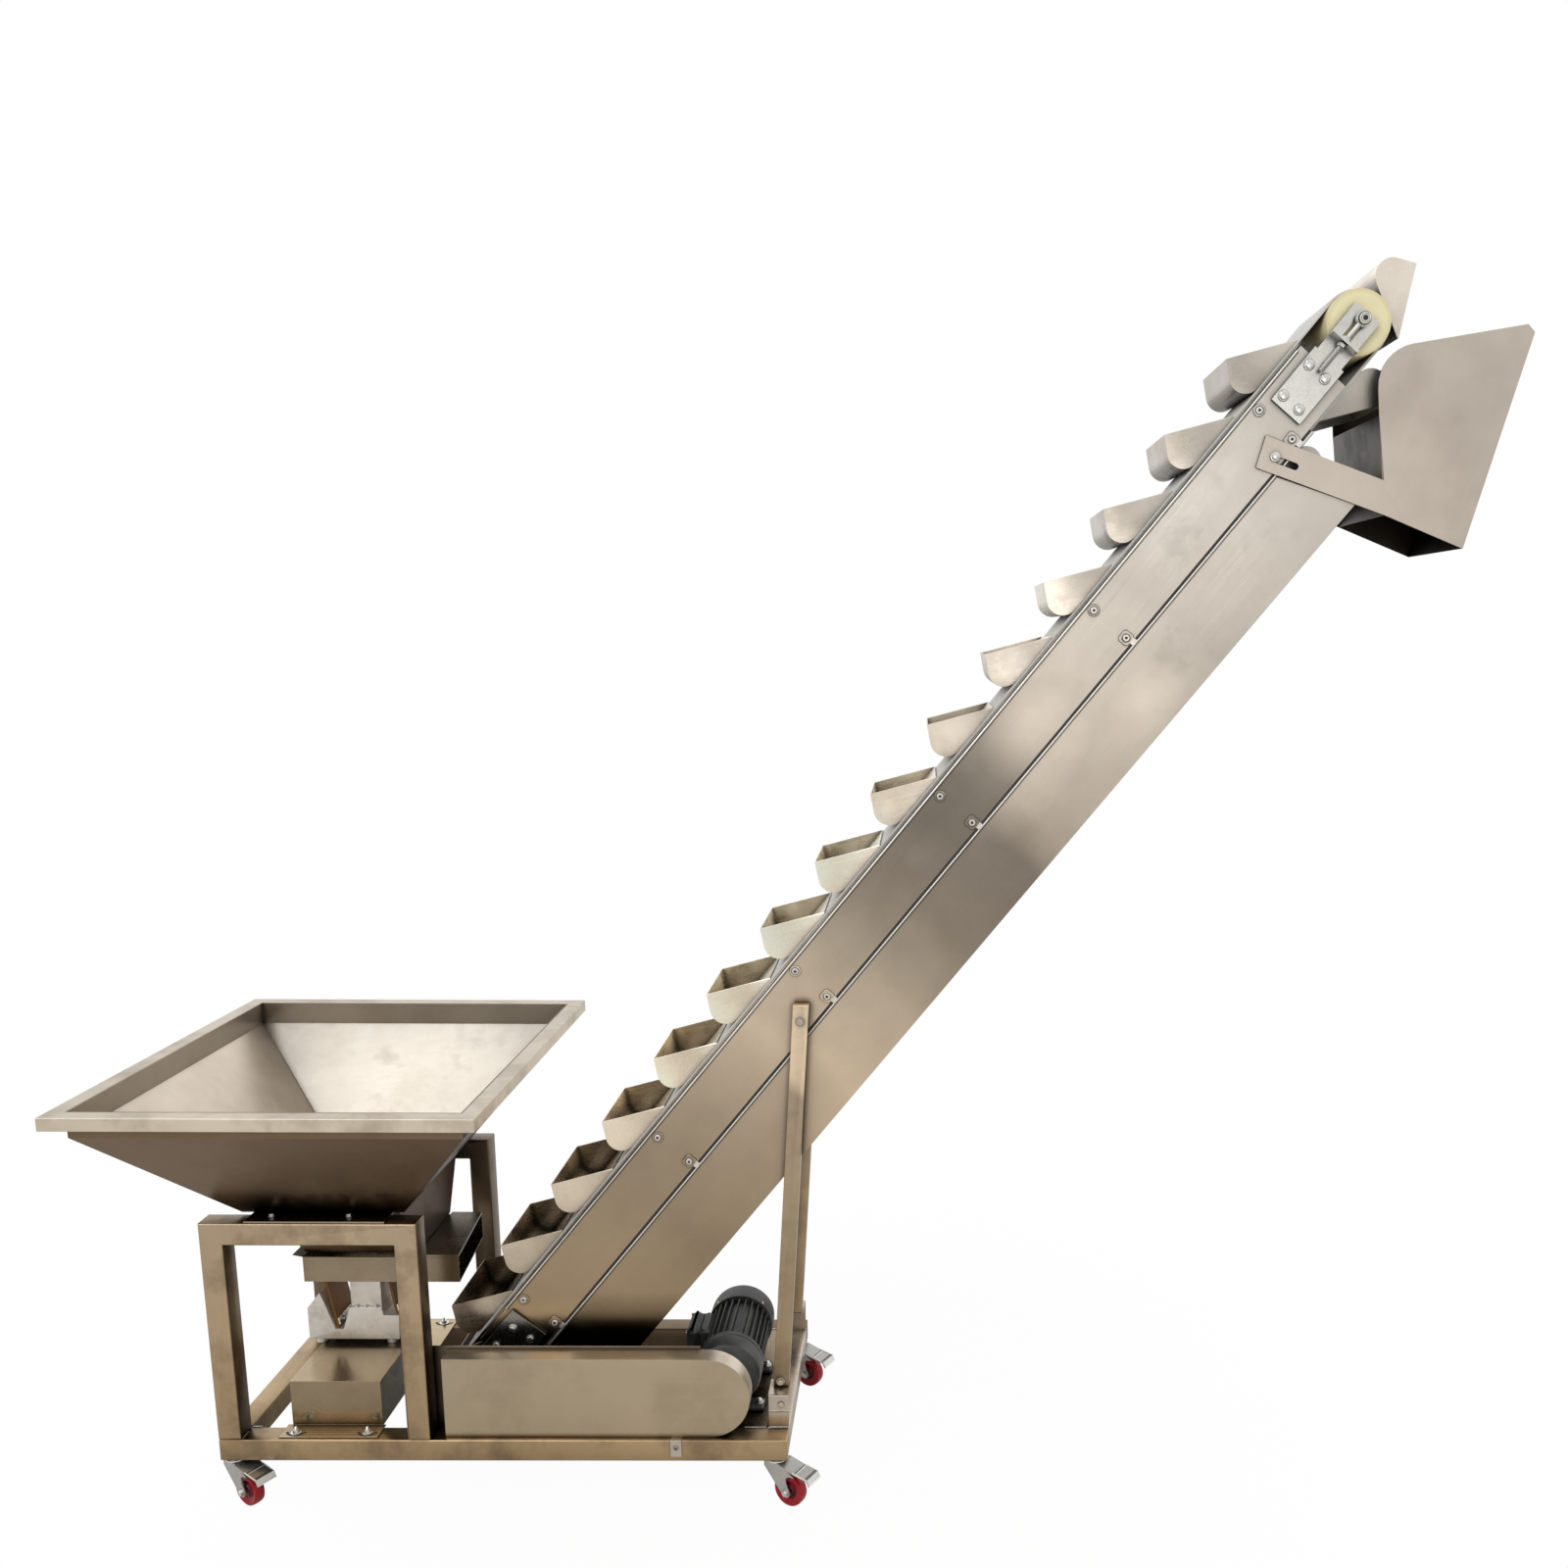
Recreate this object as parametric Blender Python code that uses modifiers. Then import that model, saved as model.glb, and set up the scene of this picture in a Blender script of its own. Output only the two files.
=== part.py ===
# Inclined bucket elevator with a vibrating feeder, on a base frame with castors.
# Metres, +Z up, +X from the feed hopper towards the discharge chute, -Y is the drive side.
# Machine coordinates: x = 0 at the hopper end of the base, y = 0 at the drive side of the
# base, z = 0 at the underside of the base tubes. One empty carries them to the shared frame.
# Belt coordinates: u runs up the incline and v stands off the belt on its carrying side.
# Both start at the tail shaft.

import math

import bmesh
import bpy
from mathutils import Vector

# Clearances
GAP = 0.0003
SWIVEL_GAP = 0.0010
PIN_GAP = 0.0001
MERGE = 0.000001
LAP = 0.0010

# Facets round a full turn
ROUND_STEPS = 48
WHEEL_STEPS = 36
PIN_STEPS = 20

# Base frame
TUBE = 0.050
TUBE_EDGE = 0.003
TAIL_X = 0.560
DRIVE_SPAN = 0.545
DRIVE_TO_END = 0.145
MOTOR_X = TAIL_X + DRIVE_SPAN
BASE_LENGTH = MOTOR_X + DRIVE_TO_END
BASE_WIDTH = 0.530
PORTAL_LENGTH = 0.465
PORTAL_HEIGHT = 0.558
SUPPORT_BEAM_X = TAIL_X + 0.188
MID_Y = BASE_WIDTH / 2
RAIL_TOP = TUBE + GAP

# Castors
CASTOR_HEIGHT = 0.108
WHEEL_RADIUS = 0.0375
WHEEL_WIDTH = 0.025
TYRE_INNER = 0.030
HUB_RADIUS = 0.011
HUB_RECESS = 0.004
WHEEL_TRAIL = 0.036
CASTOR_YAW = math.radians(-30)
AXLE_RADIUS = 0.004
FORK_INSIDE = 0.0355
FORK_SHEET = 0.0025
HEAD_RADIUS = 0.023
HEAD_THICKNESS = 0.007
STEM_RADIUS = 0.006
STEM_LENGTH = 0.006
PEDAL_WIDTH = 0.044
PEDAL_REACH = 0.102

# Sheet metal
SHEET = 0.002
PLATE = 0.003

# Elevator
INCLINE = math.radians(50.9)
TAIL_Z = 0.148
DRUM_SPACING = 2.925
DRUM_RADIUS = 0.064
DRUM_SIDE_GAP = 0.007
CASING_WIDTH = 0.300
TAIL_DRUM_WIDTH = CASING_WIDTH - 0.040
SHAFT_RADIUS = 0.010
SHAFT_REACH = 0.028
BELT = 0.005
BELT_WIDTH = CASING_WIDTH - 0.070
SIDE_HALF = 0.0605
SIDE_FLANGE = 0.015
SIDE_START = 0.052
SIDE_END = DRUM_SPACING - 0.109
RETURN_TOP = 0.0665
RETURN_DEPTH = 0.1635
RETURN_END_TOP = DRUM_SPACING - 0.328
RETURN_END_LOW = DRUM_SPACING - 0.264
BED_START = 0.075
BED_END = DRUM_SPACING - 0.105
CASING_NEAR = MID_Y - CASING_WIDTH / 2
BELT_OUTSIDE = DRUM_RADIUS + GAP + BELT
BELT_MIDDLE = DRUM_RADIUS + BELT / 2

# Take-up and bearing plates
BEARING_PLATE = 0.006
TAKEUP_BACK = -0.223
TAKEUP_WAIST = -0.093
TAKEUP_FRONT = 0.019
TAKEUP_PLATE_HALF = 0.038
TAKEUP_ARM_HALF = 0.032
TAKEUP_SLOT_END = -0.055
TAKEUP_STOP = -0.060
TAKEUP_STOP_DEPTH = 0.030
TAKEUP_ROD_BACK = -0.125
TAKEUP_ROD_RADIUS = 0.005
TAKEUP_EYE_RADIUS = 0.015
TAIL_PLATE_BACK = -0.035
TAIL_PLATE_FRONT = 0.160
TAIL_PLATE_HALF = 0.047

# Buckets
PITCH = 0.190
FIRST_LIP = 0.054
MOUTH_ALONG = 0.117
MOUTH_OUT = 0.087
LIP_ANGLE = math.radians(93)
BUCKET_BEND = 0.034
BUCKET_WIDTH = BELT_WIDTH - 0.004
BUCKET_SHEET = 0.0015
ATTACH_FROM_MOUTH = 0.060
HEAD_BUCKET_TURN = math.radians(115.5)
HEAD_CLEAR = 0.117

# Hopper
RIM_X = 0.430
RIM_Y = 0.435
RIM_TOP = 0.858
RIM_WIDTH = 0.036
RIM_HEIGHT = 0.028
SKIRT_LOW = 0.803
NECK_X = 0.175
NECK_Y = BASE_WIDTH / 2 - TUBE
NECK_SHIFT = 0.0145
MOUNT_PLATE = 0.004
MOUNT_INSET = 0.003
SHELF = 0.025
SPOUT_LEFT = -0.085
SPOUT_RIGHT = 0.168
SPOUT_X = (SPOUT_RIGHT - SPOUT_LEFT) / 2
SPOUT_SHIFT = (SPOUT_RIGHT + SPOUT_LEFT) / 2
SPOUT_Y = 0.105
SPOUT_Z = 0.416
HOPPER_X = PORTAL_LENGTH / 2
MOUNT_TOP = PORTAL_HEIGHT + GAP + MOUNT_PLATE
NECK_Z = MOUNT_TOP + GAP

# Feeder
TRAY_LEFT = 0.143
TRAY_RIGHT = 0.496
TRAY_SKEW = 0.022
TRAY_WIDTH = 0.228
TRAY_NEAR = MID_Y - TRAY_WIDTH / 2
TRAY_FAR = MID_Y + TRAY_WIDTH / 2
TRAY_LOW = 0.348
TRAY_TOP = 0.408
TRAY_LIP = 0.022
TRAY_LIP_RISE = 0.004
COVER_START = HOPPER_X + SPOUT_RIGHT + 0.002
COVER_SHEET = 0.006
VIBRATOR_WIDTH = 0.100
VIBRATOR_NEAR = MID_Y - VIBRATOR_WIDTH / 2
VIBRATOR_LEFT = 0.112
VIBRATOR_RIGHT = 0.323
VIBRATOR_LOW = 0.170
SHELF_TOP = 0.250
HEEL_TOP = 0.230
HEEL_LEFT = 0.289
NOTCH_LOW = 0.195
NOTCH_LEFT = 0.174
NOTCH_RIGHT = 0.193
FOOT_RADIUS = 0.012
FOOT_INSET = 0.023
FOOT_FROM_SIDE = 0.016
MAGNET_LEFT = 0.212
MAGNET_RIGHT = 0.284
MAGNET_TOP = 0.338
STAND_LEFT = 0.138
STAND_RIGHT = 0.340
STAND_NEAR = TUBE + 0.006
STAND_FAR = MID_Y + 0.080
STAND_TOP = 0.158
STAND_FLANGE = 0.048
STAND_LIP_LEFT = 0.010
STAND_LIP_RIGHT = 0.006
SPRING = 0.006
SPRING_WIDTH = 0.086
SPRING_NEAR = MID_Y - SPRING_WIDTH / 2
SPRING_LEAN_LEFT = 0.0275
SPRING_LEAN_RIGHT = 0.019
RIGHT_SPRING_FOOT = 0.315

# Drive
MOTOR_Z = 0.145
GUARD_LEFT = 0.495
GUARD_TOP = 0.237
GUARD_NEAR = 0.012
GUARD_FAR = TUBE + 0.006
GUARD_END = MOTOR_X + 0.063
NECK_RADIUS = 0.050
BELL_NEAR = GUARD_FAR + 0.044
BELL_FAR = BELL_NEAR + 0.068
BELL_RADIUS = 0.076
BELL_EDGE = 0.008
FIN_FAR = BELL_FAR + 0.162
FIN_CORE = 0.063
FIN_RADIUS = 0.073
FIN_COUNT = 28
FIN_THICKNESS = 0.0032
FAN_FAR = FIN_FAR + 0.070
FAN_RADIUS = 0.077
FAN_EDGE = 0.012
TERMINAL_LEFT = -0.110
TERMINAL_RIGHT = -0.050
TERMINAL_LOW = -0.024
TERMINAL_TOP = 0.054
TERMINAL_LENGTH = 0.100
TERMINAL_FROM_BELL = 0.037
TERMINAL_EDGE = 0.003
MOTOR_FOOT_HALF = 0.080
MOTOR_FOOT_WEB = 0.040
MOTOR_FOOT_DEPTH = 0.012
MOTOR_FOOT_LENGTH = 0.040
MOTOR_PLATE = 0.006
MOTOR_PLATE_LEFT = MOTOR_X - MOTOR_FOOT_HALF - TUBE

# Legs
LEG_WIDTH = 0.034
LEG_DEPTH = 0.030
LEG_FOOT_X = BASE_LENGTH - 0.021
LEG_TOP_X = 1.284
LEG_TOP_Z = 1.020
BRACKET_LEFT = BASE_LENGTH - TUBE + 0.004
BRACKET_TOP = 0.130
BRACKET_NEAR = TUBE + 0.0015

# Chute, as a side view from the head shaft
HEAD_X = TAIL_X + DRUM_SPACING * math.cos(INCLINE)
HEAD_Z = TAIL_Z + DRUM_SPACING * math.sin(INCLINE)
CHUTE_LIP = (HEAD_X + 0.333, HEAD_Z - 0.003)
CHUTE_TIP = (HEAD_X + 0.3473, HEAD_Z - 0.018)
CHUTE_OUTLET_FRONT = (HEAD_X + 0.236, HEAD_Z - 0.436)
CHUTE_OUTLET_BACK = (HEAD_X + 0.072, HEAD_Z - 0.371)
CHUTE_BACK_TOP = (HEAD_X + 0.048, HEAD_Z - 0.178)
CHUTE_SHOULDER_LOW = (HEAD_X + 0.043, HEAD_Z - 0.126)
CHUTE_SHOULDER_TOP = (HEAD_X + 0.109, HEAD_Z - 0.041)
SHOULDER_RADIUS = 0.078
ARM_ROOT = (HEAD_X + 0.066, HEAD_Z - 0.303)
ARM_TIP_TOP = (HEAD_X - 0.177, HEAD_Z - 0.218)
ARM_TIP_LOW = (HEAD_X - 0.194, HEAD_Z - 0.280)
SLOT_START = (HEAD_X - 0.149, HEAD_Z - 0.266)
SLOT_LENGTH = 0.050
SLOT_WIDTH = 0.014

ORIGIN_X = (HOPPER_X - RIM_X + CHUTE_TIP[0]) / 2

PROJECTION = (math.pi / 2, 0, 0)
ALONG_X = (math.pi / 2, 0, math.pi / 2)


def clear_scene():
    for old in list(bpy.data.objects):
        bpy.data.objects.remove(old, do_unlink=True)
    for old in list(bpy.data.collections):
        bpy.data.collections.remove(old)


def material(name, colour, roughness, metallic):
    made = bpy.data.materials.new(name)
    made.use_nodes = True
    shader = made.node_tree.nodes["Principled BSDF"]
    shader.inputs["Base Color"].default_value = (*colour, 1.0)
    shader.inputs["Roughness"].default_value = roughness
    shader.inputs["Metallic"].default_value = metallic
    return made


def empty(name, parent=None, location=(0, 0, 0), turn=(0, 0, 0)):
    made = bpy.data.objects.new(name, None)
    COLLECTION.objects.link(made)
    made.parent = parent
    made.location = location
    made.rotation_euler = turn
    return made


def place(mesh, name, finish, parent, location=(0, 0, 0), turn=(0, 0, 0)):
    mesh.materials.clear()
    mesh.materials.append(finish)
    made = bpy.data.objects.new(name, mesh)
    COLLECTION.objects.link(made)
    made.parent = parent
    made.location = location
    made.rotation_euler = turn
    return made


def shade(made, angle=math.radians(32)):
    made.data.shade_smooth()
    made.data.set_sharp_from_angle(angle=angle)
    return made


def bake(made):
    bpy.context.view_layer.update()
    graph = bpy.context.evaluated_depsgraph_get()
    solid = bpy.data.meshes.new_from_object(made.evaluated_get(graph))
    made.modifiers.clear()
    made.data = solid
    return made


def combine(base, pieces, operation):
    for piece in pieces:
        join = base.modifiers.new(piece.name, "BOOLEAN")
        join.operation = operation
        join.solver = "EXACT"
        join.object = piece
    bake(base)
    for piece in pieces:
        bpy.data.objects.remove(piece, do_unlink=True)
    return base


def weld(base, *pieces):
    return combine(base, pieces, "UNION")


def block(name, low, high, finish, parent, edge=0.0):
    size = [b - a for a, b in zip(low, high)]
    centre = [(a + b) / 2 for a, b in zip(low, high)]
    shape = bmesh.new()
    bmesh.ops.create_cube(shape, size=1.0)
    bmesh.ops.scale(shape, vec=size, verts=shape.verts)
    mesh = bpy.data.meshes.new(name)
    shape.to_mesh(mesh)
    shape.free()
    made = place(mesh, name, finish, parent, centre)
    if edge:
        rounding = made.modifiers.new("rounded_edges", "BEVEL")
        rounding.width = edge
        rounding.segments = 3
    return made


def flat_mesh(name, loops, thickness, edge=0.0):
    curve = bpy.data.curves.new(name, "CURVE")
    curve.dimensions = "2D"
    curve.fill_mode = "BOTH"
    curve.extrude = thickness / 2 - edge
    curve.bevel_depth = edge
    curve.bevel_resolution = 1
    curve.offset = -edge
    for loop in loops:
        spline = curve.splines.new("POLY")
        spline.points.add(len(loop) - 1)
        for point, (across, up) in zip(spline.points, loop):
            point.co = (across, up, 0, 1)
        spline.use_cyclic_u = True
    holder = bpy.data.objects.new(name, curve)
    COLLECTION.objects.link(holder)
    bpy.context.view_layer.update()
    graph = bpy.context.evaluated_depsgraph_get()
    mesh = bpy.data.meshes.new_from_object(holder.evaluated_get(graph))
    bpy.data.objects.remove(holder, do_unlink=True)
    bpy.data.curves.remove(curve)
    shape = bmesh.new()
    shape.from_mesh(mesh)
    bmesh.ops.remove_doubles(shape, verts=shape.verts, dist=MERGE)
    bmesh.ops.recalc_face_normals(shape, faces=shape.faces)
    shape.to_mesh(mesh)
    shape.free()
    return mesh


def side_plate(name, loops, near, far, finish, parent, edge=0.0):
    mesh = flat_mesh(name, loops, far - near, edge)
    return place(mesh, name, finish, parent, (0, (near + far) / 2, 0), PROJECTION)


def level_plate(name, loops, low, high, finish, parent, edge=0.0):
    mesh = flat_mesh(name, loops, high - low, edge)
    return place(mesh, name, finish, parent, (0, 0, (low + high) / 2))


def section_bar(name, loops, start, end, finish, parent):
    mesh = flat_mesh(name, loops, end - start)
    return place(mesh, name, finish, parent, ((start + end) / 2, 0, 0), ALONG_X)


def turned(name, profile, closed, finish, parent, location, turn=(0, 0, 0), steps=ROUND_STEPS):
    count = len(profile)
    edges = [(i, i + 1) for i in range(count - 1)]
    if closed:
        edges.append((count - 1, 0))
    mesh = bpy.data.meshes.new(name)
    mesh.from_pydata([(radius, 0, height) for radius, height in profile], edges, [])
    made = place(mesh, name, finish, parent, location, turn)
    spin = made.modifiers.new("turned", "SCREW")
    spin.steps = steps
    spin.render_steps = steps
    spin.use_merge_vertices = True
    spin.merge_threshold = MERGE
    spin.use_smooth_shade = False
    return bake(made)


def rod(name, radius, length, finish, parent, location, turn=(0, 0, 0), steps=PIN_STEPS):
    half = length / 2
    profile = [(0, half), (radius, half), (radius, -half), (0, -half)]
    return turned(name, profile, False, finish, parent, location, turn, steps)


def shell(name, points, faces, thickness, finish, parent):
    mesh = bpy.data.meshes.new(name)
    mesh.from_pydata(points, [], faces)
    made = place(mesh, name, finish, parent)
    skin = made.modifiers.new("sheet", "SOLIDIFY")
    skin.thickness = thickness
    skin.offset = -1.0
    skin.use_even_offset = True
    return bake(made)


def rectangle(left, right, low, high):
    return [(left, low), (right, low), (right, high), (left, high)]


def circle(across, up, radius, count=32):
    angles = [math.tau * i / count for i in range(count)]
    return [(across + radius * math.cos(a), up + radius * math.sin(a)) for a in angles]


def arc(across, up, radius, start, end, count):
    steps = [start + (end - start) * i / count for i in range(count + 1)]
    return [(across + radius * math.cos(a), up + radius * math.sin(a)) for a in steps]


def mirror_y(y):
    return BASE_WIDTH - y


def belt_to_machine(u, v):
    x = TAIL_X + u * math.cos(INCLINE) - v * math.sin(INCLINE)
    z = TAIL_Z + u * math.sin(INCLINE) + v * math.cos(INCLINE)
    return x, z


def u_at_height(z, v):
    return (z - TAIL_Z - v * math.cos(INCLINE)) / math.sin(INCLINE)


clear_scene()
COLLECTION = bpy.data.collections.new("bucket_elevator")
bpy.context.scene.collection.children.link(COLLECTION)

FRAME_STEEL = material("frame_steel", (0.60, 0.54, 0.46), 0.35, 1.0)
HOPPER_STEEL = material("hopper_steel", (0.66, 0.62, 0.56), 0.32, 1.0)
FEEDER_STEEL = material("feeder_steel", (0.55, 0.50, 0.44), 0.35, 1.0)
CASING_STEEL = material("casing_steel", (0.64, 0.60, 0.55), 0.33, 1.0)
BUCKET_STEEL = material("bucket_steel", (0.70, 0.67, 0.62), 0.28, 1.0)
CHUTE_STEEL = material("chute_steel", (0.68, 0.65, 0.61), 0.35, 1.0)
ZINC = material("zinc_steel", (0.78, 0.80, 0.80), 0.30, 1.0)
BELT_WHITE = material("belt_white", (0.85, 0.84, 0.80), 0.60, 0.0)
NYLON = material("nylon_cream", (0.80, 0.68, 0.38), 0.45, 0.0)
MOTOR_GREY = material("motor_grey", (0.06, 0.065, 0.06), 0.50, 0.0)
CAST = material("cast_aluminium", (0.75, 0.73, 0.68), 0.50, 1.0)
LAMINATE = material("spring_laminate", (0.22, 0.12, 0.04), 0.50, 0.0)
WHEEL_RED = material("wheel_red", (0.36, 0.02, 0.03), 0.35, 0.0)

MACHINE = empty("machine", None, (-ORIGIN_X, -MID_Y, CASTOR_HEIGHT))
BELT_LINE = empty("belt_line", MACHINE, (TAIL_X, MID_Y, TAIL_Z), (0, -INCLINE, 0))


def base_rail(name, near, swivels):
    low = (0, near, 0)
    high = (BASE_LENGTH, near + TUBE, TUBE)
    rail = bake(block(name, low, high, FRAME_STEEL, MACHINE, TUBE_EDGE))
    stems = []
    for index, x in enumerate(swivels):
        middle = (x, near + TUBE / 2, LAP - (STEM_LENGTH + SWIVEL_GAP) / 2)
        length = STEM_LENGTH + SWIVEL_GAP + LAP
        stem = rod(f"{name}_stem_{index}", STEM_RADIUS, length, ZINC, MACHINE, middle)
        stems.append(stem)
    return weld(rail, *stems)


def cross_beam(name, left):
    low = (left, TUBE + GAP, 0)
    high = (left + TUBE, BASE_WIDTH - TUBE - GAP, TUBE)
    return block(name, low, high, FRAME_STEEL, MACHINE, TUBE_EDGE)


def portal(name, near):
    inner_right = PORTAL_LENGTH - TUBE
    under = PORTAL_HEIGHT - TUBE
    loop = [
        (0, RAIL_TOP),
        (TUBE, RAIL_TOP),
        (TUBE, under),
        (inner_right, under),
        (inner_right, RAIL_TOP),
        (PORTAL_LENGTH, RAIL_TOP),
        (PORTAL_LENGTH, PORTAL_HEIGHT),
        (0, PORTAL_HEIGHT),
    ]
    return side_plate(name, [loop], near, near + TUBE, FRAME_STEEL, MACHINE, TUBE_EDGE)


def leg_bracket_loop(side):
    inner = CASING_NEAR - GAP
    back = BRACKET_NEAR + PLATE
    under = BRACKET_TOP - PLATE
    low = TUBE - LAP
    loop = [
        (BRACKET_NEAR, low),
        (back, low),
        (back, under),
        (inner, under),
        (inner, BRACKET_TOP),
        (BRACKET_NEAR, BRACKET_TOP),
    ]
    if side == "far":
        loop = [(mirror_y(y), z) for y, z in loop]
    return loop


def right_cross_beam():
    beam = bake(cross_beam("right_cross_beam", BASE_LENGTH - TUBE))
    brackets = []
    for side in ("near", "far"):
        loops = [leg_bracket_loop(side)]
        name = f"{side}_bracket"
        brackets.append(
            section_bar(name, loops, BRACKET_LEFT, BASE_LENGTH - LAP, FRAME_STEEL, MACHINE)
        )
    return weld(beam, *brackets)


def build_frame():
    swivels = (TUBE / 2, BASE_LENGTH - TUBE / 2)
    base_rail("front_rail", 0, swivels)
    base_rail("rear_rail", BASE_WIDTH - TUBE, swivels)
    cross_beam("left_cross_beam", 0)
    cross_beam("support_cross_beam", SUPPORT_BEAM_X)
    right_cross_beam()
    portal("front_portal", 0)
    portal("rear_portal", BASE_WIDTH - TUBE)


def castor_fork(name, frame):
    bore = STEM_RADIUS + PIN_GAP
    top = -SWIVEL_GAP
    low = top - HEAD_THICKNESS
    profile = [
        (bore, top),
        (HEAD_RADIUS - LAP, top),
        (HEAD_RADIUS, top - LAP),
        (HEAD_RADIUS, low),
        (bore, low),
    ]
    head = turned(name, profile, True, ZINC, frame, (0, 0, 0), (0, 0, 0), WHEEL_STEPS)
    half = FORK_INSIDE / 2 + FORK_SHEET
    axle_z = WHEEL_RADIUS - CASTOR_HEIGHT
    round_end = arc(WHEEL_TRAIL, axle_z, 0.011, math.radians(-140), math.radians(20), 8)
    cheek = [(-0.021, low + LAP), (-0.022, -0.020), *round_end]
    cheek += [(0.038, -0.048), (0.036, -0.036), (0.044, -0.029), (0.060, -0.027), (0.022, low + LAP)]
    sides = []
    for index, centre in enumerate((-half + FORK_SHEET / 2, half - FORK_SHEET / 2)):
        near = centre - FORK_SHEET / 2
        side = side_plate(f"{name}_cheek_{index}", [cheek], near, near + FORK_SHEET, ZINC, frame)
        sides.append(side)
    crown_low = low - FORK_SHEET
    crown = block(
        f"{name}_crown", (-0.0205, -half, crown_low), (0.0215, half, low + LAP / 2), ZINC, frame
    )
    axle_length = 2 * half + 0.008
    axle = rod(
        f"{name}_axle", AXLE_RADIUS, axle_length, ZINC, frame,
        (WHEEL_TRAIL, 0, axle_z), PROJECTION,
    )
    pedal_loop = [
        (0.019, crown_low + LAP / 2),
        (0.0215, low + LAP / 4),
        (0.056, -0.0150),
        (PEDAL_REACH - 0.007, -0.0205),
        (PEDAL_REACH, -0.0325),
        (PEDAL_REACH - 0.003, -0.0340),
        (PEDAL_REACH - 0.009, -0.0235),
        (0.055, -0.0180),
    ]
    pedal = side_plate(
        f"{name}_pedal", [pedal_loop], -PEDAL_WIDTH / 2, PEDAL_WIDTH / 2, ZINC, frame
    )
    return weld(head, *sides, crown, axle, pedal)


def castor_wheel(name, frame):
    bore = AXLE_RADIUS + PIN_GAP
    half = WHEEL_WIDTH / 2
    inset = half - HUB_RECESS
    crown = 0.003
    profile = [
        (bore, half),
        (HUB_RADIUS, half),
        (HUB_RADIUS, inset),
        (TYRE_INNER, inset),
        (TYRE_INNER + crown / 2, half - LAP),
        (WHEEL_RADIUS - crown, half - LAP),
        (WHEEL_RADIUS, half - LAP - crown),
        (WHEEL_RADIUS, -half + LAP + crown),
        (WHEEL_RADIUS - crown, -half + LAP),
        (TYRE_INNER + crown / 2, -half + LAP),
        (TYRE_INNER, -inset),
        (HUB_RADIUS, -inset),
        (HUB_RADIUS, -half),
        (bore, -half),
    ]
    centre = (WHEEL_TRAIL, 0, WHEEL_RADIUS - CASTOR_HEIGHT)
    return turned(name, profile, True, WHEEL_RED, frame, centre, PROJECTION, WHEEL_STEPS)


def build_castors():
    places = {
        "front_left": (TUBE / 2, TUBE / 2),
        "front_right": (BASE_LENGTH - TUBE / 2, TUBE / 2),
        "rear_left": (TUBE / 2, BASE_WIDTH - TUBE / 2),
        "rear_right": (BASE_LENGTH - TUBE / 2, BASE_WIDTH - TUBE / 2),
    }
    for corner, (x, y) in places.items():
        frame = empty(f"{corner}_swivel", MACHINE, (x, y, 0), (0, 0, CASTOR_YAW))
        castor_fork(f"{corner}_fork", frame)
        castor_wheel(f"{corner}_wheel", frame)


def hopper_rim():
    outer = rectangle(HOPPER_X - RIM_X, HOPPER_X + RIM_X, MID_Y - RIM_Y, MID_Y + RIM_Y)
    inset = RIM_WIDTH
    inner = rectangle(
        HOPPER_X - RIM_X + inset, HOPPER_X + RIM_X - inset,
        MID_Y - RIM_Y + inset, MID_Y + RIM_Y - inset,
    )
    return level_plate(
        "hopper_rim", [outer, inner], RIM_TOP - RIM_HEIGHT, RIM_TOP, HOPPER_STEEL, MACHINE
    )


def hopper_cone():
    inset = RIM_WIDTH + GAP
    rings = [
        (RIM_X - inset, RIM_Y - inset, 0, RIM_TOP),
        (RIM_X - inset, RIM_Y - inset, 0, SKIRT_LOW),
        (NECK_X, NECK_Y, NECK_SHIFT, NECK_Z),
        (NECK_X - SHELF, NECK_Y - SHELF, NECK_SHIFT, NECK_Z),
        (SPOUT_X, SPOUT_Y, SPOUT_SHIFT, SPOUT_Z),
    ]
    points = []
    for half_x, half_y, shift, z in rings:
        x = HOPPER_X + shift
        points.append((x - half_x, MID_Y - half_y, z))
        points.append((x + half_x, MID_Y - half_y, z))
        points.append((x + half_x, MID_Y + half_y, z))
        points.append((x - half_x, MID_Y + half_y, z))
    faces = []
    for ring in range(len(rings) - 1):
        for side in range(4):
            upper = ring * 4
            lower = upper + 4
            following = (side + 1) % 4
            faces.append((upper + side, lower + side, lower + following, upper + following))
    return shell("hopper_cone", points, faces, SHEET, HOPPER_STEEL, MACHINE)


def hopper_mount(name, near, far):
    x = HOPPER_X + NECK_SHIFT
    low = (x - NECK_X + SHELF, near, PORTAL_HEIGHT + GAP)
    high = (x + NECK_X - SHELF, far, MOUNT_TOP)
    return block(name, low, high, FEEDER_STEEL, MACHINE)


def build_hopper():
    hopper_rim()
    hopper_cone()
    near = MOUNT_INSET
    far = TUBE + SHELF - MOUNT_INSET
    hopper_mount("front_hopper_mount", near, far)
    hopper_mount("rear_hopper_mount", mirror_y(far), mirror_y(near))


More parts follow.
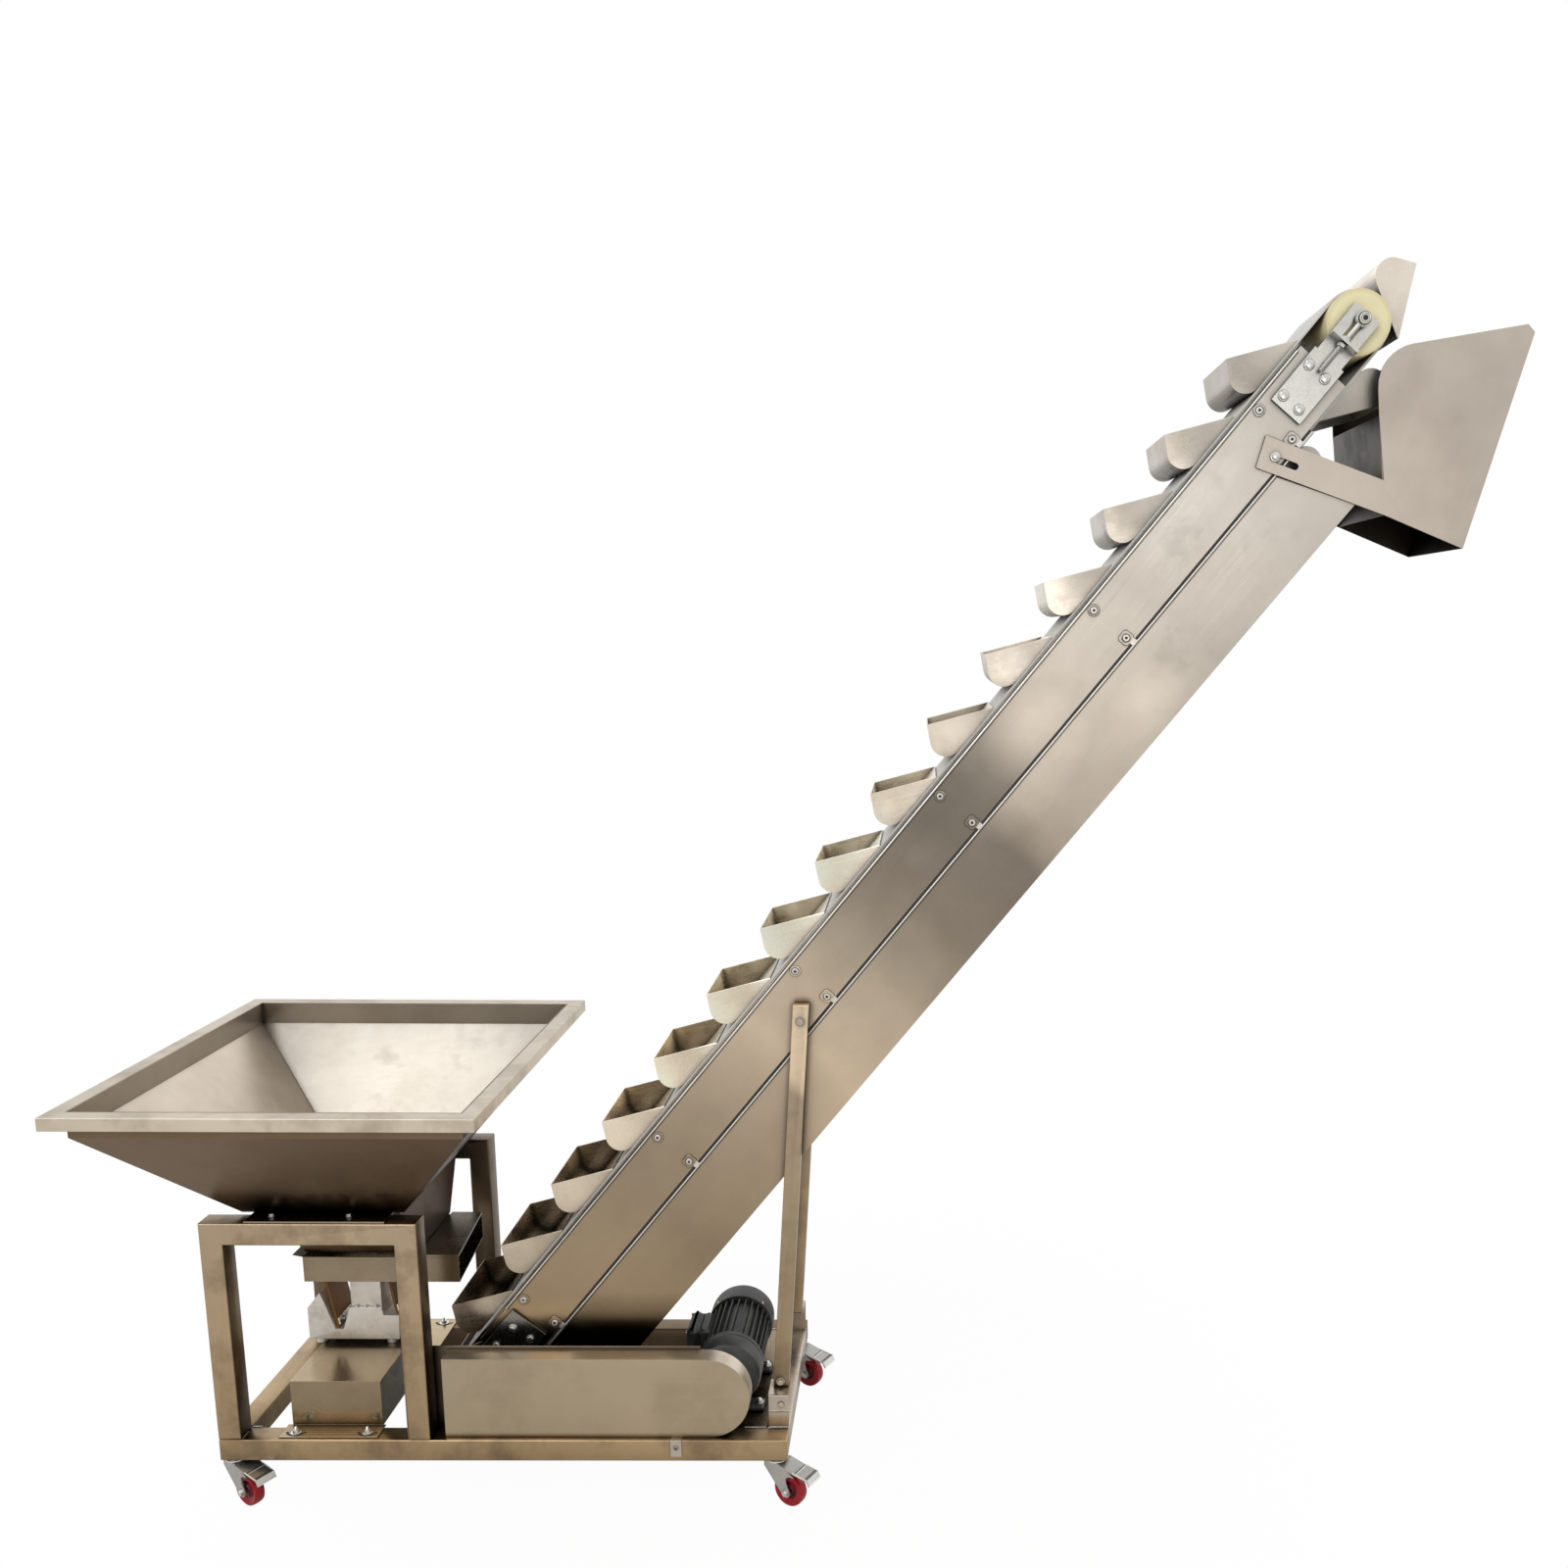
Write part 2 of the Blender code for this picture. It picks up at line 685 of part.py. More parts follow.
def feeder_tray():
    right_far = TRAY_RIGHT - TRAY_SKEW
    rim = TRAY_TOP + TRAY_LIP_RISE
    points = [
        (TRAY_LEFT, TRAY_NEAR, TRAY_LOW),
        (TRAY_RIGHT, TRAY_NEAR, TRAY_LOW),
        (right_far, TRAY_FAR, TRAY_LOW),
        (TRAY_LEFT, TRAY_FAR, TRAY_LOW),
        (TRAY_LEFT, TRAY_NEAR, TRAY_TOP),
        (TRAY_RIGHT, TRAY_NEAR, TRAY_TOP),
        (right_far, TRAY_FAR, TRAY_TOP),
        (TRAY_LEFT, TRAY_FAR, TRAY_TOP),
        (TRAY_LEFT - TRAY_LIP, TRAY_NEAR, rim),
        (TRAY_LEFT - TRAY_LIP, TRAY_FAR, rim),
        (COVER_START, TRAY_NEAR, TRAY_TOP),
        (COVER_START, TRAY_FAR, TRAY_TOP),
    ]
    faces = [
        (3, 2, 1, 0),
        (0, 1, 5, 10, 4),
        (2, 3, 7, 11, 6),
        (3, 0, 4, 7),
        (7, 4, 8, 9),
    ]
    return shell("feeder_tray", points, faces, SHEET, FEEDER_STEEL, MACHINE)


def tray_cover():
    low = TRAY_TOP + GAP
    loop = [
        (COVER_START, TRAY_NEAR),
        (TRAY_RIGHT, TRAY_NEAR),
        (TRAY_RIGHT - TRAY_SKEW, TRAY_FAR),
        (COVER_START, TRAY_FAR),
    ]
    return level_plate("tray_cover", [loop], low, low + COVER_SHEET, FEEDER_STEEL, MACHINE)


def vibrator_body():
    far = mirror_y(VIBRATOR_NEAR)
    draft = 0.002
    horn_width = 0.031
    horn_rise = 0.038
    loop = [
        (VIBRATOR_LEFT, VIBRATOR_LOW),
        (VIBRATOR_RIGHT, VIBRATOR_LOW),
        (VIBRATOR_RIGHT + draft, HEEL_TOP),
        (HEEL_LEFT, HEEL_TOP),
        (HEEL_LEFT - 2 * draft, SHELF_TOP),
        (MAGNET_LEFT - draft, SHELF_TOP),
        (NOTCH_RIGHT, NOTCH_LOW),
        (NOTCH_LEFT, NOTCH_LOW),
        (VIBRATOR_LEFT + horn_width + 0.011, SHELF_TOP + 0.006),
        (VIBRATOR_LEFT + horn_width, SHELF_TOP - draft + horn_rise),
        (VIBRATOR_LEFT, SHELF_TOP - draft),
    ]
    body = side_plate("vibrator_body", [loop], VIBRATOR_NEAR, far, CAST, MACHINE, 0.0015)
    feet = []
    low = STAND_TOP + GAP
    for index, x in enumerate((VIBRATOR_LEFT + FOOT_INSET, VIBRATOR_RIGHT - FOOT_INSET)):
        for row, y in enumerate((VIBRATOR_NEAR + FOOT_FROM_SIDE, far - FOOT_FROM_SIDE)):
            middle = (x, y, (low + VIBRATOR_LOW + LAP) / 2)
            height = VIBRATOR_LOW + LAP - low
            feet.append(rod(f"foot_{index}_{row}", FOOT_RADIUS, height, CAST, MACHINE, middle))
    return weld(body, *feet)


def magnet_housing():
    low = (MAGNET_LEFT, SPRING_NEAR, SHELF_TOP + GAP)
    high = (MAGNET_RIGHT, mirror_y(SPRING_NEAR), MAGNET_TOP)
    return block("magnet_housing", low, high, CAST, MACHINE, 0.002)


def leaf_spring(name, foot, head):
    loop = [
        foot,
        (foot[0] + SPRING, foot[1]),
        (head[0] + SPRING, head[1]),
        head,
    ]
    return side_plate(name, [loop], SPRING_NEAR, mirror_y(SPRING_NEAR), LAMINATE, MACHINE)


def feeder_stand():
    body = block(
        "feeder_stand",
        (STAND_LEFT, STAND_NEAR, RAIL_TOP),
        (STAND_RIGHT, STAND_FAR, STAND_TOP),
        FEEDER_STEEL, MACHINE,
    )
    flange_left = STAND_LEFT - STAND_LIP_LEFT
    flange_right = STAND_RIGHT + STAND_LIP_RIGHT
    front = block(
        "stand_front_flange",
        (flange_left, STAND_NEAR - STAND_FLANGE, RAIL_TOP),
        (flange_right, STAND_NEAR + LAP, RAIL_TOP + SHEET),
        FEEDER_STEEL, MACHINE,
    )
    rear = block(
        "stand_rear_flange",
        (flange_left, STAND_FAR - LAP, RAIL_TOP),
        (flange_right, mirror_y(STAND_NEAR - STAND_FLANGE), RAIL_TOP + SHEET),
        FEEDER_STEEL, MACHINE,
    )
    return weld(body, front, rear)


def build_feeder():
    feeder_stand()
    vibrator_body()
    magnet_housing()
    under_tray = TRAY_LOW - GAP
    left_foot = (NOTCH_LEFT + NOTCH_RIGHT) / 2 - SPRING - 0.002
    leaf_spring(
        "left_leaf_spring",
        (left_foot, NOTCH_LOW + GAP),
        (left_foot - SPRING_LEAN_LEFT, under_tray),
    )
    leaf_spring(
        "right_leaf_spring",
        (RIGHT_SPRING_FOOT, HEEL_TOP + GAP),
        (RIGHT_SPRING_FOOT - SPRING_LEAN_RIGHT, under_tray),
    )
    feeder_tray()
    tray_cover()


def side_channel(name, mirrored):
    near = CASING_NEAR - MID_Y
    web = near + SHEET
    lip = near + SIDE_FLANGE
    loop = [
        (near, -SIDE_HALF),
        (lip, -SIDE_HALF),
        (lip, -SIDE_HALF + SHEET),
        (web, -SIDE_HALF + SHEET),
        (web, SIDE_HALF - SHEET),
        (lip, SIDE_HALF - SHEET),
        (lip, SIDE_HALF),
        (near, SIDE_HALF),
    ]
    if mirrored:
        loop = [(-y, v) for y, v in loop]
    return section_bar(name, [loop], SIDE_START, SIDE_END, CASING_STEEL, BELT_LINE)


def return_casing():
    top = -RETURN_TOP
    low = top - RETURN_DEPTH
    half = CASING_WIDTH / 2
    points = []
    for y in (-half, half):
        points += [
            (u_at_height(RAIL_TOP, top), y, top),
            (u_at_height(RAIL_TOP, low), y, low),
            (RETURN_END_LOW, y, low),
            (RETURN_END_TOP, y, top),
        ]
    faces = [(0, 1, 2, 3), (1, 5, 6, 2), (4, 7, 6, 5)]
    return shell("return_casing", points, faces, SHEET, CASING_STEEL, BELT_LINE)


def belt_bed():
    half = CASING_WIDTH / 2 - PLATE
    low = (BED_START, -half, SIDE_HALF + GAP)
    high = (BED_END, half, DRUM_RADIUS)
    return block("belt_bed", low, high, CASING_STEEL, BELT_LINE)


def bucket_mesh():
    direction = math.atan2(-MOUTH_OUT, MOUTH_ALONG) - LIP_ANGLE
    front = (MOUTH_OUT - BUCKET_BEND * (1 - math.cos(direction))) / -math.sin(direction)
    lip = Vector((-MOUTH_ALONG, MOUTH_OUT))
    bend = lip + front * Vector((math.cos(direction), math.sin(direction)))
    centre = bend + BUCKET_BEND * Vector((-math.sin(direction), math.cos(direction)))
    quarter = math.pi / 2
    curve = arc(centre.x, centre.y, BUCKET_BEND, direction - quarter, -quarter, 9)
    profile = [(lip.x, lip.y), *curve, (0, 0)]
    half = BUCKET_WIDTH / 2
    count = len(profile)
    points = []
    for y in (-half, half):
        points += [(u + ATTACH_FROM_MOUTH, y, v) for u, v in profile]
    faces = [(i, i + count, i + count + 1, i + 1) for i in range(count - 1)]
    faces.append(tuple(range(count)))
    faces.append(tuple(reversed(range(count, 2 * count))))
    made = shell("bucket_pattern", points, faces, BUCKET_SHEET, BUCKET_STEEL, None)
    mesh = made.data
    bpy.data.objects.remove(made, do_unlink=True)
    return mesh


def on_loop(distance, stand_off):
    turn_length = math.pi * BELT_MIDDLE
    if distance <= 0:
        turn = distance / BELT_MIDDLE
        return stand_off * math.sin(turn), stand_off * math.cos(turn), turn
    if distance <= DRUM_SPACING:
        return distance, stand_off, 0.0
    if distance <= DRUM_SPACING + turn_length:
        turn = (distance - DRUM_SPACING) / BELT_MIDDLE
        return DRUM_SPACING + stand_off * math.sin(turn), stand_off * math.cos(turn), turn
    if distance <= 2 * DRUM_SPACING + turn_length:
        return 2 * DRUM_SPACING + turn_length - distance, -stand_off, math.pi
    turn = math.pi + (distance - 2 * DRUM_SPACING - turn_length) / BELT_MIDDLE
    return stand_off * math.sin(turn), stand_off * math.cos(turn), turn


def bucket_at(name, mesh, distance, stand_off):
    u, v, turn = on_loop(distance, stand_off)
    made = bpy.data.objects.new(name, mesh)
    COLLECTION.objects.link(made)
    made.parent = BELT_LINE
    made.location = (u, 0, v)
    made.rotation_euler = (0, turn, 0)
    return made


def belt_loop(outside):
    inside = outside - BELT
    loops = []
    for radius in (outside, inside):
        head = arc(DRUM_SPACING, 0, radius, math.pi / 2, -math.pi / 2, 24)
        tail = arc(0, 0, radius, -math.pi / 2, -3 * math.pi / 2, 24)
        loops.append(head + tail)
    half = BELT_WIDTH / 2
    return side_plate("bucket_belt", loops, -half, half, BELT_WHITE, BELT_LINE)


def build_buckets():
    mesh = bucket_mesh()
    first = FIRST_LIP + MOUTH_ALONG - ATTACH_FROM_MOUTH
    seat = BELT_OUTSIDE + GAP
    carried = int((DRUM_SPACING - HEAD_CLEAR - first) / PITCH) + 1
    for index in range(carried):
        bucket_at(f"bucket_{index + 1:02d}", mesh, first + index * PITCH, seat)
    head = DRUM_SPACING + HEAD_BUCKET_TURN * BELT_MIDDLE
    bucket_at(f"bucket_{carried + 1:02d}", mesh, head, seat)
    loop_length = 2 * DRUM_SPACING + math.tau * BELT_MIDDLE
    way_back = first + loop_length - head
    returning = int(way_back / PITCH) - 1
    spacing = way_back / (returning + 1)
    belt = belt_loop(BELT_OUTSIDE)
    fixed = []
    for index in range(returning):
        distance = head + (index + 1) * spacing
        fixed.append(bucket_at(f"return_{index}", mesh, distance, BELT_OUTSIDE - LAP / 2))
    return weld(belt, *fixed)


def drum(name, u, half_width, near_reach, far_reach):
    profile = [
        (0, near_reach),
        (SHAFT_RADIUS, near_reach),
        (SHAFT_RADIUS, half_width),
        (DRUM_RADIUS - LAP, half_width),
        (DRUM_RADIUS, half_width - LAP),
        (DRUM_RADIUS, -half_width + LAP),
        (DRUM_RADIUS - LAP, -half_width),
        (SHAFT_RADIUS, -half_width),
        (SHAFT_RADIUS, -far_reach),
        (0, -far_reach),
    ]
    return turned(name, profile, False, NYLON, BELT_LINE, (u, 0, 0), PROJECTION)


def takeup_plate(name, side):
    slot = SHAFT_RADIUS + GAP
    loop = [
        (TAKEUP_BACK, -TAKEUP_PLATE_HALF),
        (TAKEUP_WAIST, -TAKEUP_PLATE_HALF),
        (TAKEUP_WAIST, -TAKEUP_ARM_HALF),
        (TAKEUP_FRONT, -TAKEUP_ARM_HALF),
        (TAKEUP_FRONT, -slot),
        (TAKEUP_SLOT_END, -slot),
        (TAKEUP_SLOT_END, slot),
        (TAKEUP_FRONT, slot),
        (TAKEUP_FRONT, TAKEUP_ARM_HALF),
        (TAKEUP_WAIST, TAKEUP_ARM_HALF),
        (TAKEUP_WAIST, TAKEUP_PLATE_HALF),
        (TAKEUP_BACK, TAKEUP_PLATE_HALF),
    ]
    loop = [(u + DRUM_SPACING, v) for u, v in loop]
    inner = CASING_WIDTH / 2 + GAP
    outer = inner + BEARING_PLATE
    rod_y = outer + TAKEUP_STOP_DEPTH / 2
    plate = side_plate(name, [loop], *sorted((side * inner, side * outer)), ZINC, BELT_LINE)
    stop_y = sorted((side * (outer - LAP), side * (outer + TAKEUP_STOP_DEPTH)))
    stop_u = DRUM_SPACING + TAKEUP_STOP
    stop = block(
        f"{name}_stop",
        (stop_u, stop_y[0], -TAKEUP_ARM_HALF),
        (stop_u + BEARING_PLATE, stop_y[1], TAKEUP_ARM_HALF),
        ZINC, BELT_LINE,
    )
    eye_height = TAKEUP_ROD_RADIUS * 1.2
    eye_bore = SHAFT_RADIUS + GAP
    eye = turned(
        f"{name}_eye",
        [
            (eye_bore, eye_height),
            (TAKEUP_EYE_RADIUS, eye_height),
            (TAKEUP_EYE_RADIUS, -eye_height),
            (eye_bore, -eye_height),
        ],
        True, ZINC, BELT_LINE, (DRUM_SPACING, side * rod_y, 0), PROJECTION, WHEEL_STEPS,
    )
    rod_end = -(SHAFT_RADIUS + TAKEUP_EYE_RADIUS) / 2
    screw = rod(
        f"{name}_screw", TAKEUP_ROD_RADIUS, rod_end - TAKEUP_ROD_BACK, ZINC, BELT_LINE,
        (DRUM_SPACING + (rod_end + TAKEUP_ROD_BACK) / 2, side * rod_y, 0), (0, math.pi / 2, 0),
    )
    return weld(plate, stop, eye, screw)


def tail_plate(name, side):
    inner = CASING_WIDTH / 2 + GAP
    outer = inner + BEARING_PLATE
    outline = rectangle(TAIL_PLATE_BACK, TAIL_PLATE_FRONT, -TAIL_PLATE_HALF, TAIL_PLATE_HALF)
    loops = [outline, circle(0, 0, SHAFT_RADIUS + PIN_GAP)]
    return side_plate(name, loops, *sorted((side * inner, side * outer)), ZINC, BELT_LINE)


def build_elevator():
    side_channel("near_side_plate", False)
    side_channel("far_side_plate", True)
    return_casing()
    belt_bed()
    build_buckets()
    reach = CASING_WIDTH / 2 + SHAFT_REACH
    drum("head_drum", DRUM_SPACING, CASING_WIDTH / 2 - DRUM_SIDE_GAP, reach, reach)
    to_guard = MID_Y - GUARD_FAR - PLATE
    drum("tail_drum", 0, TAIL_DRUM_WIDTH / 2, to_guard, reach)
    takeup_plate("near_takeup", -1)
    takeup_plate("far_takeup", 1)
    tail_plate("near_tail_plate", -1)
    tail_plate("far_tail_plate", 1)


def shoulder():
    low = Vector(CHUTE_SHOULDER_LOW)
    top = Vector(CHUTE_SHOULDER_TOP)
    chord = top - low
    middle = (low + top) / 2
    sagitta = math.sqrt(SHOULDER_RADIUS ** 2 - (chord.length / 2) ** 2)
    inward = Vector((chord.y, -chord.x)).normalized()
    centre = middle + inward * sagitta
    start = math.atan2(low.y - centre.y, low.x - centre.x)
    end = math.atan2(top.y - centre.y, top.x - centre.x)
    if start < 0:
        start += math.tau
    return arc(centre.x, centre.y, SHOULDER_RADIUS, start, end, 8)


def slot_loop(start, direction):
    across = Vector((-direction.y, direction.x))
    heading = math.atan2(direction.y, direction.x)
    radius = SLOT_WIDTH / 2
    first = Vector(start)
    last = first + direction * (SLOT_LENGTH - SLOT_WIDTH)
    quarter = math.pi / 2
    back = arc(first.x, first.y, radius, heading + quarter, heading + 3 * quarter, 8)
    front = arc(last.x, last.y, radius, heading - quarter, heading + quarter, 8)
    return back + front


def chute_side():
    direction = (Vector(CHUTE_OUTLET_BACK) - Vector(ARM_TIP_LOW)).normalized()
    outline = [
        ARM_TIP_LOW,
        CHUTE_OUTLET_BACK,
        CHUTE_OUTLET_FRONT,
        CHUTE_TIP,
        CHUTE_LIP,
        *reversed(shoulder()),
        CHUTE_BACK_TOP,
        ARM_ROOT,
        ARM_TIP_TOP,
    ]
    return [outline, slot_loop(SLOT_START, direction)]


def wall_between(name, lower, upper, inward, near, far):
    start = Vector(lower)
    end = Vector(upper)
    along = (end - start).normalized()
    step = Vector((along.y, -along.x)) * SHEET * inward
    loop = [start, end, end + step, start + step]
    return side_plate(name, [[tuple(p) for p in loop]], near, far, CHUTE_STEEL, MACHINE)


def discharge_chute():
    loops = chute_side()
    outer_near = CASING_NEAR - GAP - PLATE
    inner_near = CASING_NEAR - GAP
    near = side_plate("discharge_chute", loops, outer_near, inner_near, CHUTE_STEEL, MACHINE)
    far = side_plate(
        "chute_far", loops, mirror_y(inner_near), mirror_y(outer_near), CHUTE_STEEL, MACHINE
    )
    start = inner_near - PLATE / 2
    end = mirror_y(start)
    front = wall_between("chute_front", CHUTE_OUTLET_FRONT, CHUTE_TIP, -1, start, end)
    back = wall_between("chute_back", CHUTE_OUTLET_BACK, CHUTE_BACK_TOP, 1, start, end)
    return weld(near, far, front, back)


def chain_guard():
    radius = (GUARD_TOP - RAIL_TOP) / 2
    middle = (GUARD_TOP + RAIL_TOP) / 2
    quarter = math.pi / 2
    round_end = arc(GUARD_END - radius, middle, radius, -quarter, quarter, 32)
    loop = [(GUARD_LEFT, RAIL_TOP), *round_end, (GUARD_LEFT, GUARD_TOP)]
    return side_plate("chain_guard", [loop], GUARD_NEAR, GUARD_FAR, FRAME_STEEL, MACHINE)


def finned_section():
    points = []
    for index in range(FIN_COUNT):
        middle = math.tau * index / FIN_COUNT
        for radius, side in ((FIN_CORE, -1), (FIN_RADIUS, -1), (FIN_RADIUS, 1), (FIN_CORE, 1)):
            angle = middle + side * FIN_THICKNESS / 2 / radius
            points.append((radius * math.cos(angle), radius * math.sin(angle)))
    return points


def gearmotor():
    here = (MOTOR_X, 0, MOTOR_Z)
    axis = empty("motor_axis", MACHINE, here)
    neck_start = GUARD_FAR + GAP
    profile = [
        (0, -neck_start),
        (NECK_RADIUS, -neck_start),
        (NECK_RADIUS, -BELL_NEAR + FAN_EDGE),
        (BELL_RADIUS - BELL_EDGE, -BELL_NEAR),
        (BELL_RADIUS, -BELL_NEAR - BELL_EDGE),
        (BELL_RADIUS, -BELL_FAR),
        (0, -BELL_FAR),
    ]
    bell = turned("gearmotor", profile, False, MOTOR_GREY, axis, (0, 0, 0), PROJECTION)
    fins = side_plate(
        "motor_fins", [finned_section()], BELL_FAR - LAP, FIN_FAR + LAP, MOTOR_GREY, axis
    )
    fan_profile = [
        (0, -FIN_FAR),
        (FAN_RADIUS, -FIN_FAR),
        (FAN_RADIUS, -FAN_FAR + FAN_EDGE),
        (FAN_RADIUS - FAN_EDGE, -FAN_FAR),
        (0, -FAN_FAR),
    ]
    fan = turned("fan_cover", fan_profile, False, MOTOR_GREY, axis, (0, 0, 0), PROJECTION)
    box_near = BELL_FAR + TERMINAL_FROM_BELL
    terminal = block(
        "terminal_box",
        (TERMINAL_LEFT, box_near, TERMINAL_LOW),
        (TERMINAL_RIGHT, box_near + TERMINAL_LENGTH, TERMINAL_TOP),
        MOTOR_GREY, axis, TERMINAL_EDGE,
    )
    drop = RAIL_TOP - MOTOR_Z
    rise = drop + MOTOR_FOOT_DEPTH
    feet = []
    for index, start in enumerate((BELL_NEAR + FAN_EDGE, FIN_FAR - 1.5 * MOTOR_FOOT_LENGTH)):
        end = start + MOTOR_FOOT_LENGTH
        sole = block(
            f"foot_{index}",
            (-MOTOR_FOOT_HALF, start, drop),
            (MOTOR_FOOT_HALF, end, rise),
            MOTOR_GREY, axis,
        )
        web = block(
            f"web_{index}",
            (-MOTOR_FOOT_WEB, start, drop + MOTOR_FOOT_DEPTH / 2),
            (MOTOR_FOOT_WEB, end, -FIN_CORE + FAN_EDGE),
            MOTOR_GREY, axis,
        )
        feet += [sole, web]
    return weld(bell, fins, fan, bake(terminal), *feet)


def build_drive():
    chain_guard()
    gearmotor()
    low = (MOTOR_PLATE_LEFT, TUBE + GAP, TUBE - MOTOR_PLATE)
    high = (BASE_LENGTH - TUBE - GAP, BASE_WIDTH - TUBE - GAP, TUBE)
    block("motor_plate", low, high, FEEDER_STEEL, MACHINE)


def leg(name, near):
    foot = BRACKET_TOP + GAP
    half = LEG_WIDTH / 2
    loop = [
        (LEG_FOOT_X - half, foot),
        (LEG_FOOT_X + half, foot),
        (LEG_TOP_X + half, LEG_TOP_Z),
        (LEG_TOP_X - half, LEG_TOP_Z),
    ]
    return side_plate(name, [loop], near, near + LEG_DEPTH, FRAME_STEEL, MACHINE, LAP)


def build_legs():
    near = CASING_NEAR - GAP - LEG_DEPTH
    leg("near_leg", near)
    leg("far_leg", mirror_y(near + LEG_DEPTH))


build_frame()
build_castors()
build_hopper()
build_feeder()
build_elevator()
discharge_chute()
build_drive()
build_legs()

for item in COLLECTION.objects:
    if item.type == "MESH":
        shade(item)
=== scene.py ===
# %% [markdown]
# # An inclined bucket elevator, dressed for its portrait
# This lesson takes a plain machine model and gives it the look of the real one: brushed stainless
# steel, zinc plated castors, a painted motor and a cast vibrating feeder. The plain model comes from
# a packed file and is never moved. New pieces either sit on it or stand in for one of its nodes.
# Everything is in metres, Z is up, X runs from the feed hopper to the discharge chute.

# %% Load the packed machine
import math

import bmesh
import bpy
from mathutils import Matrix, Vector


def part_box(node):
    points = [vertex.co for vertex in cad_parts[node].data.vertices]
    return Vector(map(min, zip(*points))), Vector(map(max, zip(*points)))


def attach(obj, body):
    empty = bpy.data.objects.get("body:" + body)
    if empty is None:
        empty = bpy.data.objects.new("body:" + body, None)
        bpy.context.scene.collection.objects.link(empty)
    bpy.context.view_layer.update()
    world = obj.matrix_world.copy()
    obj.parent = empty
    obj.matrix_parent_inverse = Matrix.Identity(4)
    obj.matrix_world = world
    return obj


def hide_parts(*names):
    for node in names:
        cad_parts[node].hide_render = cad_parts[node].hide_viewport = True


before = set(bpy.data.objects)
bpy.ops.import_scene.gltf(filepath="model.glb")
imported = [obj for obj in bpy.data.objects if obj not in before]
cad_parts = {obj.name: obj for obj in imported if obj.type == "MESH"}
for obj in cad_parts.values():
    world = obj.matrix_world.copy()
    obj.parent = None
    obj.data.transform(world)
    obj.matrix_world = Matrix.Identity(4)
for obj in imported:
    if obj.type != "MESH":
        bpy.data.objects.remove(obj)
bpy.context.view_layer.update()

# %% [markdown]
# ## Two sets of coordinates
# A fitter measures the base from its front left corner, and everything on the incline from the shaft
# of the lower drum: u runs up the belt, v stands off it. Reading both origins from the packed nodes
# keeps each new piece on the metal that carries it.

# %% Base and belt coordinates
base_corner = Vector((
    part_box("left_cross_beam")[0].x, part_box("front_rail")[0].y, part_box("left_cross_beam")[0].z
))


def at(x, y, z):
    return base_corner + Vector((x, y, z))


def centre(node):
    low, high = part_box(node)
    return (low + high) / 2


tail_shaft = Vector((centre("tail_drum").x, 0, centre("tail_drum").z))
head_shaft = Vector((centre("head_drum").x, 0, centre("head_drum").z))
UP_BELT = (head_shaft - tail_shaft).normalized()
OFF_BELT = Vector((-UP_BELT.z, 0, UP_BELT.x))
ACROSS = Vector((0, 1, 0))
DRUM_SPACING = (head_shaft - tail_shaft).length
CASING_HALF = -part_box("near_side_plate")[0].y


def on_belt(u, y, v):
    return tail_shaft + u * UP_BELT + y * ACROSS + v * OFF_BELT


def facing(place, normal, upward=Vector((0, 0, 1))):
    """A matrix at place with Z along the normal and X as near to level as it can be."""
    z_axis = normal.normalized()
    x_axis = upward.cross(z_axis)
    if x_axis.length < 0.001:
        x_axis = Vector((1, 0, 0))
    x_axis.normalize()
    y_axis = z_axis.cross(x_axis)
    turn = Matrix((x_axis, y_axis, z_axis)).transposed().to_4x4()
    return Matrix.Translation(place) @ turn


print("incline", round(math.degrees(math.atan2(UP_BELT.z, UP_BELT.x)), 2), "degrees")

# %% [markdown]
# ## The camera
# The portrait was taken from the drive side, a little above the middle of the machine, with a lens
# of normal angle. The camera's place and turn were worked out from the square tubes, the rim and the
# casing, so the packed machine lands on its own outline.

# %% Camera
PHOTO_WIDTH = 1600
FOCAL_PIXELS = 1351.5
SENSOR_WIDTH = 36
OPTICAL_CENTRE = (953.2, 895.8)
EYE = at(1.5449, -2.6551, 1.8007)
YAW, PITCH, ROLL = math.radians(-0.48), math.radians(10.36), math.radians(-0.36)

forward = Vector((
    -math.sin(YAW) * math.cos(PITCH), math.cos(YAW) * math.cos(PITCH), -math.sin(PITCH)
))
level = Vector((math.cos(YAW), math.sin(YAW), 0))
downward = forward.cross(level)
right = math.cos(ROLL) * level + math.sin(ROLL) * downward
down = math.cos(ROLL) * downward - math.sin(ROLL) * level

lens = bpy.data.cameras.new("portrait_camera")
lens.sensor_width = SENSOR_WIDTH
lens.lens = FOCAL_PIXELS / PHOTO_WIDTH * SENSOR_WIDTH
lens.shift_x = (PHOTO_WIDTH / 2 - OPTICAL_CENTRE[0]) / PHOTO_WIDTH
lens.shift_y = (OPTICAL_CENTRE[1] - PHOTO_WIDTH / 2) / PHOTO_WIDTH
camera = bpy.data.objects.new("portrait_camera", lens)
bpy.context.scene.collection.objects.link(camera)
turn = Matrix((right, -down, -forward)).transposed().to_4x4()
camera.matrix_world = Matrix.Translation(EYE) @ turn
bpy.context.scene.camera = camera
print("lens", round(lens.lens, 2), "mm")

# %% [markdown]
# ## Shader maths as Python
# A node tree is a drawing of a formula. It is easier to read as the formula itself, so a Wire stands
# for one output socket and Python's operators add the Math nodes. One function makes them all, and
# the reflected forms, such as 1 - mask, swap the two sides.


# %% Wires
def math_node(operation, swapped=False):
    """A method that adds one Math node for an operator of Wire."""
    def method(self, other):
        first, second = (other, self) if swapped else (self, other)
        return self.bench.node("ShaderNodeMath", {"operation": operation}, {0: first, 1: second})

    return method


